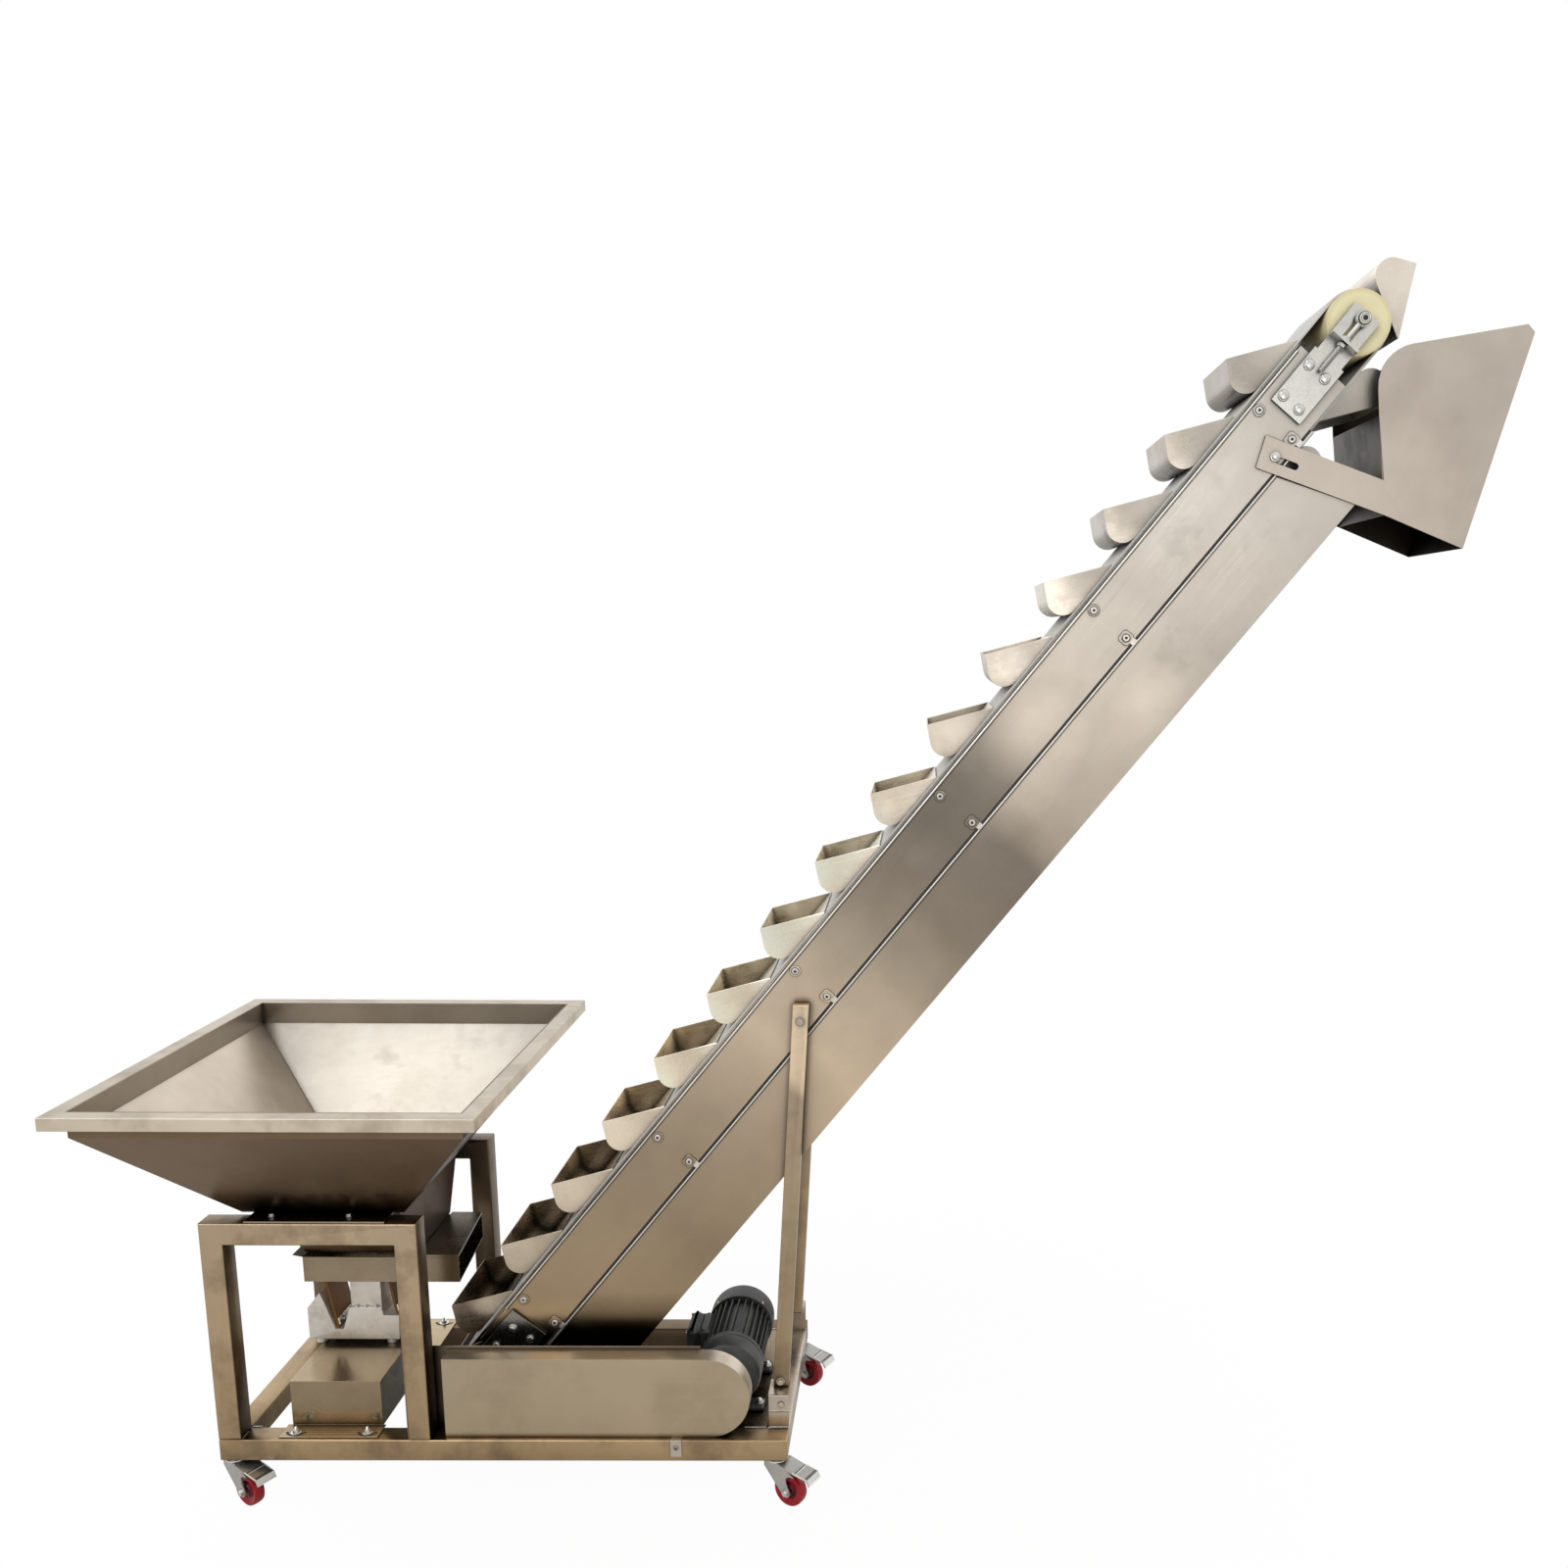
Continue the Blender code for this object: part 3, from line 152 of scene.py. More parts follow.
class Wire:
    """A node's output socket that takes part in Python expressions."""

    def __init__(self, bench, socket):
        self.bench = bench
        self.socket = socket

    __add__ = math_node("ADD")
    __radd__ = math_node("ADD", swapped=True)
    __sub__ = math_node("SUBTRACT")
    __rsub__ = math_node("SUBTRACT", swapped=True)
    __mul__ = math_node("MULTIPLY")
    __rmul__ = math_node("MULTIPLY", swapped=True)
    __truediv__ = math_node("DIVIDE")
    __pow__ = math_node("POWER")
    __gt__ = math_node("GREATER_THAN")


print("a wire can be added, taken away, multiplied, divided, raised and compared")

# %% [markdown]
# ## The bench
# Bench is the table that the nodes of one material stand on. Its node method adds any node, settings
# first and then the sockets. The other methods are the few moves that every finish here is made of:
# where a point is, which way a face looks, how near other metal stands, a noise, a mask, a mix of two
# colours and a bump. Masks run from 0 to 1, so they multiply well.

# %% Bench: one method for any node
MIX_FACTOR, MIX_BELOW, MIX_ABOVE, MIX_RESULT = 0, 6, 7, 2


class Bench:
    """The nodes of one material or world, and one method that adds any node."""

    def __init__(self, tree):
        self.tree = tree

    def feed(self, socket, value):
        if isinstance(value, Wire):
            self.tree.links.new(value.socket, socket)
        else:
            socket.default_value = value

    def node(self, kind, settings, sockets, output=0):
        made = self.tree.nodes.new(kind)
        for name, value in settings.items():
            if name == "stops":
                ramp = made.color_ramp.elements
                while len(ramp) < len(value):
                    ramp.new(1.0)
                for stop, (position, colour) in zip(ramp, value):
                    stop.position = position
                    stop.color = colour
            else:
                setattr(made, name, value)
        for name, value in sockets.items():
            self.feed(made.inputs[name], value)
        return Wire(self, made.outputs[output]) if len(made.outputs) else None

    def place(self):
        return self.node("ShaderNodeTexCoord", {}, {}, "Object")

    def along(self, place, direction):
        settings = {"operation": "DOT_PRODUCT"}
        return self.node("ShaderNodeVectorMath", settings, {0: place, 1: direction}, "Value")

    def height(self):
        """0 at the foot of the machine, 1 at its head."""
        return self.spread(self.along(self.place(), (0, 0, 1)), 0.10, 2.45)

    def looks(self, direction=(0, 0, 1)):
        """How far the surface looks that way: 1 straight at it, -1 straight away from it."""
        normal = self.node("ShaderNodeNewGeometry", {}, {}, "True Normal")
        return self.along(normal, direction)

    def crevice(self, distance, samples=6):
        """1 on an open face, less where other metal stands close to it."""
        settings, sockets = {"samples": samples}, {"Distance": distance}
        return self.node("ShaderNodeAmbientOcclusion", settings, sockets, "AO")

    def outward(self, place, middle):
        """1 on a face that looks away from the middle, 0 on one that looks towards it."""
        normal = self.node("ShaderNodeNewGeometry", {}, {}, "True Normal")
        settings = {"operation": "SUBTRACT"}
        offset = self.node("ShaderNodeVectorMath", settings, {0: place, 1: middle})
        return self.spread(self.along(normal, offset), 0.0, 0.004)

    def stack(self, x, y, z):
        return self.node("ShaderNodeCombineXYZ", {}, {0: x, 1: y, 2: z})

    def noise(self, place, scale, detail=3.0, roughness=0.55):
        sockets = {"Vector": place, "Scale": scale, "Detail": detail, "Roughness": roughness}
        return self.node("ShaderNodeTexNoise", {"noise_dimensions": "3D"}, sockets)

    def spread(self, value, low, high, bottom=0.0, top=1.0):
        """Stretches low..high to bottom..top and holds it there."""
        sockets = {0: value, 1: low, 2: high, 3: bottom, 4: top}
        return self.node("ShaderNodeMapRange", {"clamp": True}, sockets)

    def patches(self, place, scale, low, high, detail=5.0, roughness=0.65):
        """A mask of soft patches: the part of a noise above low, full at high."""
        return self.spread(self.noise(place, scale, detail, roughness), low, high)

    def colours(self, mask, below, above, how="MIX"):
        settings = {"data_type": "RGBA", "blend_type": how}
        sockets = {MIX_FACTOR: mask, MIX_BELOW: below, MIX_ABOVE: above}
        return self.node("ShaderNodeMix", settings, sockets, MIX_RESULT)

    def shaded(self, tone, shade):
        """The tone times a grey of that lightness."""
        grey = self.node("ShaderNodeCombineColor", {}, {0: shade, 1: shade, 2: shade})
        return self.colours(1.0, tone, grey, "MULTIPLY")

    def bump(self, height, strength, distance, under=None):
        sockets = {"Strength": strength, "Distance": distance, "Height": height}
        if under is not None:
            sockets["Normal"] = under
        return self.node("ShaderNodeBump", {}, sockets)


def rgb(red, green, blue):
    return (red, green, blue, 1.0)


print("moves on the bench", len([name for name in vars(Bench) if not name.startswith("_")]))

# %% [markdown]
# ## A new finish
# Each finish starts as a Principled shader whose Metallic is one number, and ends by feeding the
# same three sockets: a colour, a roughness and a bump. Two short functions do that for every finish
# of the machine, so a finish is only what lies between them.


# %% First and last step of every finish
def new_finish(name, metallic):
    made = bpy.data.materials.new(name)
    made.use_nodes = True
    bench = Bench(made.node_tree)
    shader = made.node_tree.nodes["Principled BSDF"]
    shader.inputs["Metallic"].default_value = metallic
    return made, bench, shader.inputs


def coat(bench, shader, tone, rough, bump):
    bench.feed(shader["Base Color"], tone)
    bench.feed(shader["Roughness"], rough)
    bench.feed(shader["Normal"], bump)


print("every finish feeds Base Color, Roughness and Normal")

# %% [markdown]
# ## Brushed stainless steel: the grain
# Sheet and tube leave the mill with a fine grain that all runs one way, and it stays that way when
# they are welded up. A picture of scratches would show its pixels close up, so the grain is a noise
# squeezed hard across one direction, three times: fine hairs, wider streaks and broad bands.

# %% Grain of the brush
# Each row: about how many marks a metre holds along the grain and across it, and the noise's detail.
HAIRS = (9.0, 1300.0, 2.0)
STREAKS = (2.5, 160.0, 4.0)
BROAD_BANDS = (1.1, 14.0, 3.0)


def brush_marks(bench, place, grain):
    """Hairs, streaks and broad bands along the grain, each from 0 to 1."""
    grain = Vector(grain).normalized()
    helper = Vector((0, 1, 0)) if abs(grain.y) < 0.9 else Vector((0, 0, 1))
    first = grain.cross(helper).normalized()
    second = grain.cross(first).normalized()
    run = bench.along(place, grain)
    across = bench.along(place, first)
    beside = bench.along(place, second)

    marks = []
    for lengthwise, crosswise, detail in (HAIRS, STREAKS, BROAD_BANDS):
        squeezed = bench.stack(run * lengthwise, across * crosswise, beside * crosswise)
        marks.append(bench.noise(squeezed, 1.0, detail))
    return marks


print("hairs per metre across the grain", HAIRS[1])

# %% [markdown]
# ## What the sheet mirrors
# Polished sheet mirrors what stands round it as slow bands of light and dark along the incline, with
# a few soft oval patches. True mirror pictures would need those surroundings in every new scene, so
# the bands and patches are part of the finish. A band table gives the lightness at distances up the
# belt. An oval has its middle, its two half widths and how much lighter it is.

# %% Bands and ovals along the incline
RAMP_LENGTH = 3.2


def incline_light(bench, place, bands, ovals):
    """The lightness that the band table and the ovals give at a place."""
    u = bench.along(place, UP_BELT) - UP_BELT.dot(tail_shaft)
    v = bench.along(place, OFF_BELT) - OFF_BELT.dot(tail_shaft)
    wander = 0.25 * (bench.noise(place, 3.0, 2.0) - 0.5)
    stops = [(far / RAMP_LENGTH, rgb(light, light, light)) for far, light in bands]
    settings = {"stops": stops}
    shade = bench.node("ShaderNodeValToRGB", settings, {0: (u + wander) / RAMP_LENGTH})
    for middle_u, middle_v, half_u, half_v, gain in ovals:
        beside_u = (u - middle_u) / half_u
        beside_v = (v - middle_v) / half_v
        oval = bench.spread(beside_u * beside_u + beside_v * beside_v, 0.0, 1.0, 1.0, 0.0)
        shade = shade * (1.0 + gain * oval)
    return shade


print("band tables reach", RAMP_LENGTH, "m up the belt")

# %% [markdown]
# ## Brushed stainless steel: the whole finish
# Over the grain come soft clouds from wiping, brown stains, and a painted reflection that changes the
# tone with height: a warm straw grey near the floor and a cooler, lighter grey towards the head. Seams
# and deep corners get painted shade, darker the closer other metal stands, and so do faces that look
# down. The options let one function make every sheet of the machine: foot paints shade on what stands
# low, a facing option paints light and shade on the faces that look in a direction, and a middle tells
# the inside of a hopper or chute from its outside, each with a painted shade of its own, where one side
# may also lie in painted shadow.

# %% Brushed steel
# The change of tone from FLOOR_TONE to HEAD_TONE is a painted reflection, darker low down.
FLOOR_TONE = (0.470, 0.340, 0.195)
HEAD_TONE = (0.660, 0.605, 0.525)
STAIN_TONE = (0.24, 0.17, 0.105)
SHADOW_TINT = (0.24, 0.22, 0.20)
PLAIN = (1.0, 1.0, 1.0)
FACING_LOW, FACING_HIGH = 0.50, 0.70


def brushed_steel(name, grain, low_tone=FLOOR_TONE, high_tone=HEAD_TONE, roughness=0.34,
                  waves=0.0012, scratch=1.0, wear=1.0, brown=0.25,
                  seams=0.66, dark=0.30, reach=0.20, foot=None,
                  bands=None, ovals=(), facing_light=(),
                  middle=None, inside_shade=PLAIN, outside_shade=PLAIN, shadow_side=(0, 0, -1)):
    made, bench, shader = new_finish(name, 1.0)
    place = bench.place()
    hair, streak, broad = brush_marks(bench, place, grain)
    cloud = bench.noise(place, 4.5, 5.0, 0.6)
    smear = bench.patches(place, 9.0, 0.52, 0.72, 6.0)
    stain = bench.patches(place, 7.0, 0.46, 0.66, roughness=0.62)
    # seam is 1 on open metal and lower where other metal stands close; it weights the stains and paints
    # shade.
    seam = bench.spread(bench.crevice(0.014, 4), 0.50, 0.92)

    tone = bench.colours(bench.height(), rgb(*low_tone), rgb(*high_tone))
    tone = bench.colours(brown * stain * (1.4 - 0.4 * seam), tone, rgb(*STAIN_TONE))
    light = 0.66 + scratch * (0.10 * streak + 0.12 * broad - 0.11) + 0.11 + 0.44 * cloud * wear
    # Painted shade: faces that look down, seams and deep corners are darker.
    shade = bench.spread(bench.looks(), -0.9, 0.15, 0.45, 1.0) * (1.0 - seams + seams * seam)
    shade = shade * bench.spread(bench.crevice(reach), 0.20, 0.85, dark, 1.0)
    if bands:
        shade = shade * incline_light(bench, place, bands, ovals)
    # Painted shade: what stands low fades towards dark.
    if foot:
        shade = shade * bench.spread(bench.along(place, (0, 0, 1)), foot[0], foot[1], 0.07, 1.0)
    tone = bench.shaded(tone, light * shade)
    # Painted light and shade on the faces that look in each given direction.
    for direction, painted_light in facing_light:
        facing_it = bench.spread(bench.looks(direction), FACING_LOW, FACING_HIGH)
        tone = bench.colours(facing_it, tone, rgb(*painted_light), "MULTIPLY")
    # Painted shade: an open form's inside and outside each take a darker tone, and outer faces on the
    # shadow side a painted shadow.
    if middle:
        outside = bench.outward(place, middle)
        sides = bench.colours(outside, rgb(*inside_shade), rgb(*outside_shade))
        tone = bench.colours(1.0, tone, sides, "MULTIPLY")
        shadow = outside * bench.spread(bench.looks(shadow_side), FACING_LOW, FACING_HIGH)
        tone = bench.colours(shadow, tone, rgb(*SHADOW_TINT), "MULTIPLY")

    rough = roughness - 0.12 + 0.08 * hair + 0.10 * streak + wear * 0.16 * smear
    dents = bench.bump(bench.noise(place, 3.2, 2.0), 1.0, waves)
    coat(bench, shader, tone, rough, bench.bump(hair, 0.35, 0.00006, dents))
    return made


print("brushed steel from", FLOOR_TONE, "to", HEAD_TONE)

# %% [markdown]
# ## Steel of the frame and the legs
# One finish serves many tubes, but the grain has to follow each tube's length, so there is one for
# each axis. The back rail and portal stand in the machine's own shadow and have a darker low tone.
# The legs mirror a bright patch where they cross the casing.

# %% Frame, leg and bracket finishes
ALONG_X, ALONG_Y, ALONG_Z = (1, 0, 0), (0, 1, 0), (0, 0, 1)
TO_RIGHT, TO_LEFT, UPWARD = (1, 0, 0), (-1, 0, 0), (0, 0, 1)
BACK_TONE = (0.165, 0.115, 0.072)
LEG_BANDS = ((0.00, 0.90), (0.94, 0.92), (0.97, 1.70), (1.20, 2.00))


def even(light):
    """A factor of painted light and shade that changes the lightness and not the hue."""
    return (light, light, light)


FRAME_X = brushed_steel("frame_steel_along_x", ALONG_X, brown=0.75, wear=1.5)
FRAME_Y = brushed_steel("frame_steel_along_y", ALONG_Y, brown=0.75, wear=1.5)
# Painted shade on the faces of the posts that look right.
FRAME_Z = brushed_steel("frame_steel_along_z", ALONG_Z, brown=0.75, wear=1.5,
                        facing_light=((TO_RIGHT, even(0.48)),))
# The back sheet's dark tone is painted shade, behind the guard.
BACK_SHEET = brushed_steel("back_sheet_steel", ALONG_X, (0.20, 0.155, 0.105), brown=0.3, dark=0.7)
BACK_X = brushed_steel("back_frame_steel_along_x", ALONG_X, BACK_TONE, brown=0.60, wear=1.5)
# Painted shade on the faces of the back posts that look right.
BACK_Z = brushed_steel("back_frame_steel_along_z", ALONG_Z, BACK_TONE, brown=0.60, wear=1.5,
                       facing_light=((TO_RIGHT, even(0.60)),))
LEG = brushed_steel("leg_steel", ALONG_Z, brown=0.40, bands=LEG_BANDS)
BRACKET = brushed_steel("bracket_steel", ALONG_Z, (0.66, 0.59, 0.50), roughness=0.28, brown=0.35,
                        seams=0.3, dark=0.7)
print("frame finishes", [m.name for m in (FRAME_X, FRAME_Y, FRAME_Z, BACK_X, BACK_Z, LEG)])

# %% [markdown]
# ## Steel of the casing
# The side plates and the return tray mirror the same things at slightly different places, so each has
# a band table and ovals of its own, painted reflections. Both fade to a painted shadow behind the guard
# at their foot. Their grain runs up the incline.

# %% Casing finishes
SIDE_BANDS = (
    (0.00, 1.10), (0.25, 1.03), (0.60, 0.83), (0.80, 1.00), (1.02, 1.62), (1.22, 1.40), (1.38, 0.82),
    (1.58, 0.58), (1.72, 0.58), (1.88, 1.05), (2.02, 1.18), (2.25, 0.80), (2.45, 0.90), (2.70, 1.10),
)
RETURN_BANDS = (
    (0.00, 0.90), (0.35, 0.96), (0.60, 0.81), (0.85, 1.10), (1.05, 1.68), (1.25, 1.34),
    (1.42, 0.74), (1.64, 0.62), (1.75, 1.18), (1.98, 1.26), (2.25, 0.84), (2.70, 1.12),
)
SIDE_OVALS = ((1.885, -0.015, 0.12, 0.085, 0.42), (2.40, 0.02, 0.20, 0.05, 0.08))
RETURN_OVALS = ((1.82, -0.075, 0.19, 0.080, 0.26), (2.09, -0.165, 0.11, 0.065, 0.20))
CASING_TONES = ((0.465, 0.330, 0.180), (0.635, 0.605, 0.560))


def casing_steel(name, bands, ovals, foot):
    return brushed_steel(name, UP_BELT, *CASING_TONES, waves=0.0010, roughness=0.33, brown=0.10,
                         wear=0.6, bands=bands, foot=foot, ovals=ovals, scratch=0.5)


CASING = casing_steel("casing_steel", SIDE_BANDS, SIDE_OVALS, (0.325, 0.395))
RETURN = casing_steel("return_steel", RETURN_BANDS, RETURN_OVALS, (0.360, 0.450))
print("bands on the side plates", len(SIDE_BANDS), "and on the tray", len(RETURN_BANDS))

# %% [markdown]
# ## Steel of the hopper, feeder, buckets, guard and chute
# These are folded from brighter sheet. The chute has a painted dark inside and painted shade on the
# faces that look left, and the hopper a painted shade outside and painted light and shade on its slopes
# by the way they face. The feeder's parts get painted shade on their right because they stand under the
# hopper, the stand's top a painted highlight, and the guard's top a painted highlight much brighter
# than its face, because it looks at the light. The rim's top gets painted shade, and the buckets
# painted shade inside.

# %% Finishes of the folded sheet parts
BUCKET_BANDS = (
    (0.00, 0.75), (0.30, 1.05), (0.80, 1.60), (1.20, 1.75), (1.62, 1.65), (1.88, 1.02),
    (2.12, 1.28), (2.30, 0.80), (2.50, 0.95), (2.74, 0.76), (2.95, 1.40),
)
FEEDER_TONES = ((0.40, 0.31, 0.20), (0.58, 0.52, 0.42))
FRONT_SLOPE, RIGHT_SLOPE = (0, -0.8, 0.6), (0.64, 0, 0.77)

# Painted highlight on the guard's top.
GUARD = brushed_steel("guard_steel", ALONG_X, (0.580, 0.475, 0.328), brown=0.20, dark=0.80, wear=0.7,
                      scratch=0.6, facing_light=((UPWARD, (1.42, 1.55, 1.80)),))
# Painted shade on the rim's top.
RIM = brushed_steel("rim_steel", ALONG_X, (0.82, 0.71, 0.56), (0.86, 0.79, 0.68), brown=0.40,
                    dark=0.62, facing_light=((UPWARD, even(0.74)),))
# Painted shade outside, and painted light and shade on the slopes by their facing.
HOPPER = brushed_steel("hopper_steel", (1, 0, 0.2), (0.555, 0.490, 0.405), (0.60, 0.555, 0.495),
                       waves=0.002, brown=0.15, scratch=0.5,
                       middle=centre("hopper_cone"), outside_shade=(0.56, 0.43, 0.32),
                       shadow_side=(0.8, 0, -0.6),
                       facing_light=((FRONT_SLOPE, (0.76, 0.78, 0.80)), (RIGHT_SLOPE, (1.25, 1.22, 1.20))))
# Painted shade on the faces of the feeder and stand that look right, a painted highlight on the stand's
# top.
FEEDER = brushed_steel("feeder_steel", ALONG_X, *FEEDER_TONES, roughness=0.28,
                       dark=0.10, reach=0.26, facing_light=((TO_RIGHT, even(0.40)),))
STAND = brushed_steel("stand_steel", ALONG_X, *FEEDER_TONES, roughness=0.26,
                      dark=0.10, reach=0.26, facing_light=((TO_RIGHT, even(0.55)), (UPWARD, even(1.50))))
# Painted shade inside the buckets, and painted reflections along the incline.
BUCKET = brushed_steel("bucket_steel", (1, 0, 0.25), (0.70, 0.595, 0.455), (0.76, 0.70, 0.62),
                       roughness=0.30, waves=0.0016, dark=0.06, reach=0.08, brown=0.22,
                       bands=BUCKET_BANDS, scratch=0.2)
# Painted shade inside the chute and on its faces that look left.
CHUTE = brushed_steel("chute_steel", (0.3, 0, 1), (0.64, 0.56, 0.45), (0.70, 0.63, 0.55),
                      roughness=0.40, brown=0.12, wear=0.7, scratch=0.4,
                      middle=centre("discharge_chute"), inside_shade=(0.13, 0.115, 0.10),
                      facing_light=((TO_LEFT, even(0.24)),))
print("brushed finishes", [m.name for m in bpy.data.materials if "steel" in m.name])

# %% [markdown]
# ## Zinc plate
# The castor forks, the take-ups and the bolts are zinc plated: bright, a little cloudy, with dull
# spots, and painted shade in crevices and on faces that look down. The castor forks have a satin zinc
# and painted shade on their top faces, and the plates that hold the lower drum have a painted shadow
# from standing behind the base. All three come from one function.


# %% Zinc plating
def zinc_plate(name="zinc_plate", light=1.0, upper=1.0, roughness=0.18):
    made, bench, shader = new_finish(name, 1.0)
    place = bench.place()
    cloud = bench.noise(place, 38.0, 4.0)
    spot = bench.spread(bench.noise(place, 180.0), 0.55, 0.75)
    tone = bench.colours(cloud, rgb(0.72, 0.72, 0.69), rgb(0.97, 0.97, 0.94))
    tone = bench.colours(0.25 * spot, tone, rgb(0.46, 0.43, 0.38))
    # Painted shade in crevices, on faces that look down and, by the upper factor, on faces that look
    # up.
    shade = light * bench.spread(bench.crevice(0.016, 8), 0.25, 0.80, 0.12, 1.0)
    shade = shade * bench.spread(bench.looks(), -0.6, 0.2, 0.45, 1.0)
    shade = shade * bench.spread(bench.looks(), 0.5, 0.9, 1.0, upper)
    rough = roughness + 0.16 * cloud + 0.10 * spot
    coat(bench, shader, bench.shaded(tone, shade), rough, bench.bump(cloud, 0.2, 0.0003))
    return made


ZINC = zinc_plate()
FORK = zinc_plate("fork_zinc", 0.76, 0.72, 0.34)
# A painted shadow on the plates of the lower drum.
TAIL_PLATE = zinc_plate("tail_plate_zinc", 0.30)
print("zinc finishes", [m.name for m in (ZINC, FORK, TAIL_PLATE)])

# %% [markdown]
# ## Cast nylon
# The drum of the head is cast nylon, cream and waxy. A lathe leaves fine rings on its end, and a noise
# of the distance from the shaft draws them. The rim of the end is a little browner, and some
# subsurface light keeps it from looking like paint.


# %% Nylon drum
def cast_nylon():
    made, bench, shader = new_finish("cast_nylon", 0.0)
    place = bench.place()
    run = bench.along(place, UP_BELT) - UP_BELT.dot(head_shaft)
    off = bench.along(place, OFF_BELT) - OFF_BELT.dot(head_shaft)
    radius = (run * run + off * off) ** 0.5
    rings = bench.noise(bench.stack(radius * 1500.0, 0.0, 0.0), 1.0, 2.0)
    cloud = bench.noise(place, 22.0, 4.0)
    tone = bench.colours(cloud, rgb(0.94, 0.82, 0.46), rgb(1.0, 0.95, 0.66))
    rim = bench.spread(radius, 0.054, 0.062)
    tone = bench.colours(0.30 * rim, tone, rgb(0.58, 0.44, 0.18))
    # Painted shade where other metal stands close.
    tone = bench.shaded(tone, bench.spread(bench.crevice(0.02), 0.3, 0.9, 0.4, 1.0))
    coat(bench, shader, tone, 0.36 + 0.14 * rings, bench.bump(rings, 0.30, 0.0002))
    shader["Subsurface Weight"].default_value = 0.12
    shader["Subsurface Radius"].default_value = (0.010, 0.007, 0.003)
    return made


NYLON = cast_nylon()
print("drum finish", NYLON.name)

# %% [markdown]
# ## Dusty, finely pitted skins
# The enamel of the motor, bare turned steel and bright folded edges differ in colour and in being
# metal or not, but all have the same fine pits, the same dust and painted shade in their corners. So
# one function makes the dark green grey motor paint and the steel of the screws, edges and leg bolts.
# The near-white edge steel is partly a painted highlight. The clips look like the casing's own sheet,
# so they take its finish, with less painted shade at their seams.


# %% Motor paint and small steel parts
def dusty_skin(name, low_tone, high_tone, metallic=1.0):
    made, bench, shader = new_finish(name, metallic)
    place = bench.place()
    cloud = bench.noise(place, 18.0, 4.0)
    grit = bench.noise(place, 700.0, 2.0)
    dust = bench.patches(place, 34.0, 0.52, 0.78, 6.0, 0.7)
    tone = bench.colours(cloud, rgb(*low_tone), rgb(*high_tone))
    tone = bench.colours(0.22 * dust, tone, rgb(0.20, 0.18, 0.15))
    # Painted shade in corners where other metal stands close.
    tone = bench.shaded(tone, bench.spread(bench.crevice(0.012, 8), 0.25, 0.85, 0.25, 1.0))
    coat(bench, shader, tone, 0.36 + 0.22 * dust + 0.08 * grit, bench.bump(grit, 0.25, 0.0003))
    return made


PAINT = dusty_skin("motor_paint", (0.020, 0.023, 0.022), (0.040, 0.044, 0.042), 0.0)
SCREW_STEEL = dusty_skin("screw_steel", (0.70, 0.67, 0.62), (0.86, 0.84, 0.80))
# Near-white steel, partly a painted highlight on edges, lips and folds.
EDGE_STEEL = dusty_skin("edge_steel", (0.90, 0.87, 0.80), (1.0, 0.98, 0.93))
LEG_BOLT = dusty_skin("leg_bolt_steel", (0.46, 0.40, 0.33), (0.62, 0.55, 0.46))
CLIP_STEEL = brushed_steel("clip_steel", UP_BELT, *CASING_TONES, bands=SIDE_BANDS, scratch=0.3,
                           seams=0.15, dark=0.8)
print("small part finishes", [m.name for m in (SCREW_STEEL, EDGE_STEEL, LEG_BOLT, CLIP_STEEL)])

# %% [markdown]
# ## The vibrating feeder's casting and springs
# The feeder's body is rough sand cast aluminium: two noises, lumps and grains, feed two bumps, the
# second standing on the first. Its leaf springs are brown glass laminate with little shine, whose
# layers are a noise that changes fast through the sheet and slowly along it.


# %% Sand casting and glass laminate
def sand_casting():
    made, bench, shader = new_finish("sand_casting", 1.0)
    place = bench.place()
    grains = bench.noise(place, 420.0, 4.0, 0.7)
    lumps = bench.noise(place, 60.0)
    dirt = bench.patches(place, 16.0, 0.50, 0.78)
    tone = bench.colours(lumps, rgb(0.80, 0.78, 0.73), rgb(0.98, 0.96, 0.92))
    tone = bench.colours(0.45 * dirt, tone, rgb(0.38, 0.33, 0.26))
    rough_form = bench.bump(lumps, 0.6, 0.0010)
    coat(bench, shader, tone, 0.48 + 0.20 * grains, bench.bump(grains, 0.5, 0.0006, rough_form))
    return made


def glass_laminate():
    made, bench, shader = new_finish("glass_laminate", 0.0)
    place = bench.place()
    threads = bench.stack(bench.along(place, ALONG_X) * 2200.0,
                          bench.along(place, ALONG_Y) * 60.0,
                          bench.along(place, ALONG_Z) * 60.0)
    weave = bench.noise(threads, 1.0, 2.0)
    cloud = bench.noise(place, 40.0)
    tone = bench.colours(cloud, rgb(0.11, 0.042, 0.008), rgb(0.26, 0.112, 0.020))
    tone = bench.colours(0.4 * weave, tone, rgb(0.30, 0.16, 0.05))
    coat(bench, shader, tone, 0.42 + 0.15 * weave, bench.bump(weave, 0.2, 0.0002))
    shader["Specular IOR Level"].default_value = 0.25
    return made


CASTING = sand_casting()
LAMINATE = glass_laminate()
print("feeder finishes", CASTING.name, LAMINATE.name)

# %% [markdown]
# ## Tyres, hubs and black mouldings
# The castor tyres are red polyurethane with a thin gloss, round a hub of the same red, much darker.
# Black serves the moulded parts, and also thin dark lines and spots of painted shade in gaps, slots,
# holes and vents, and round washers, where oil and dust add to it, because a line of real geometry
# stays sharp from near and far.


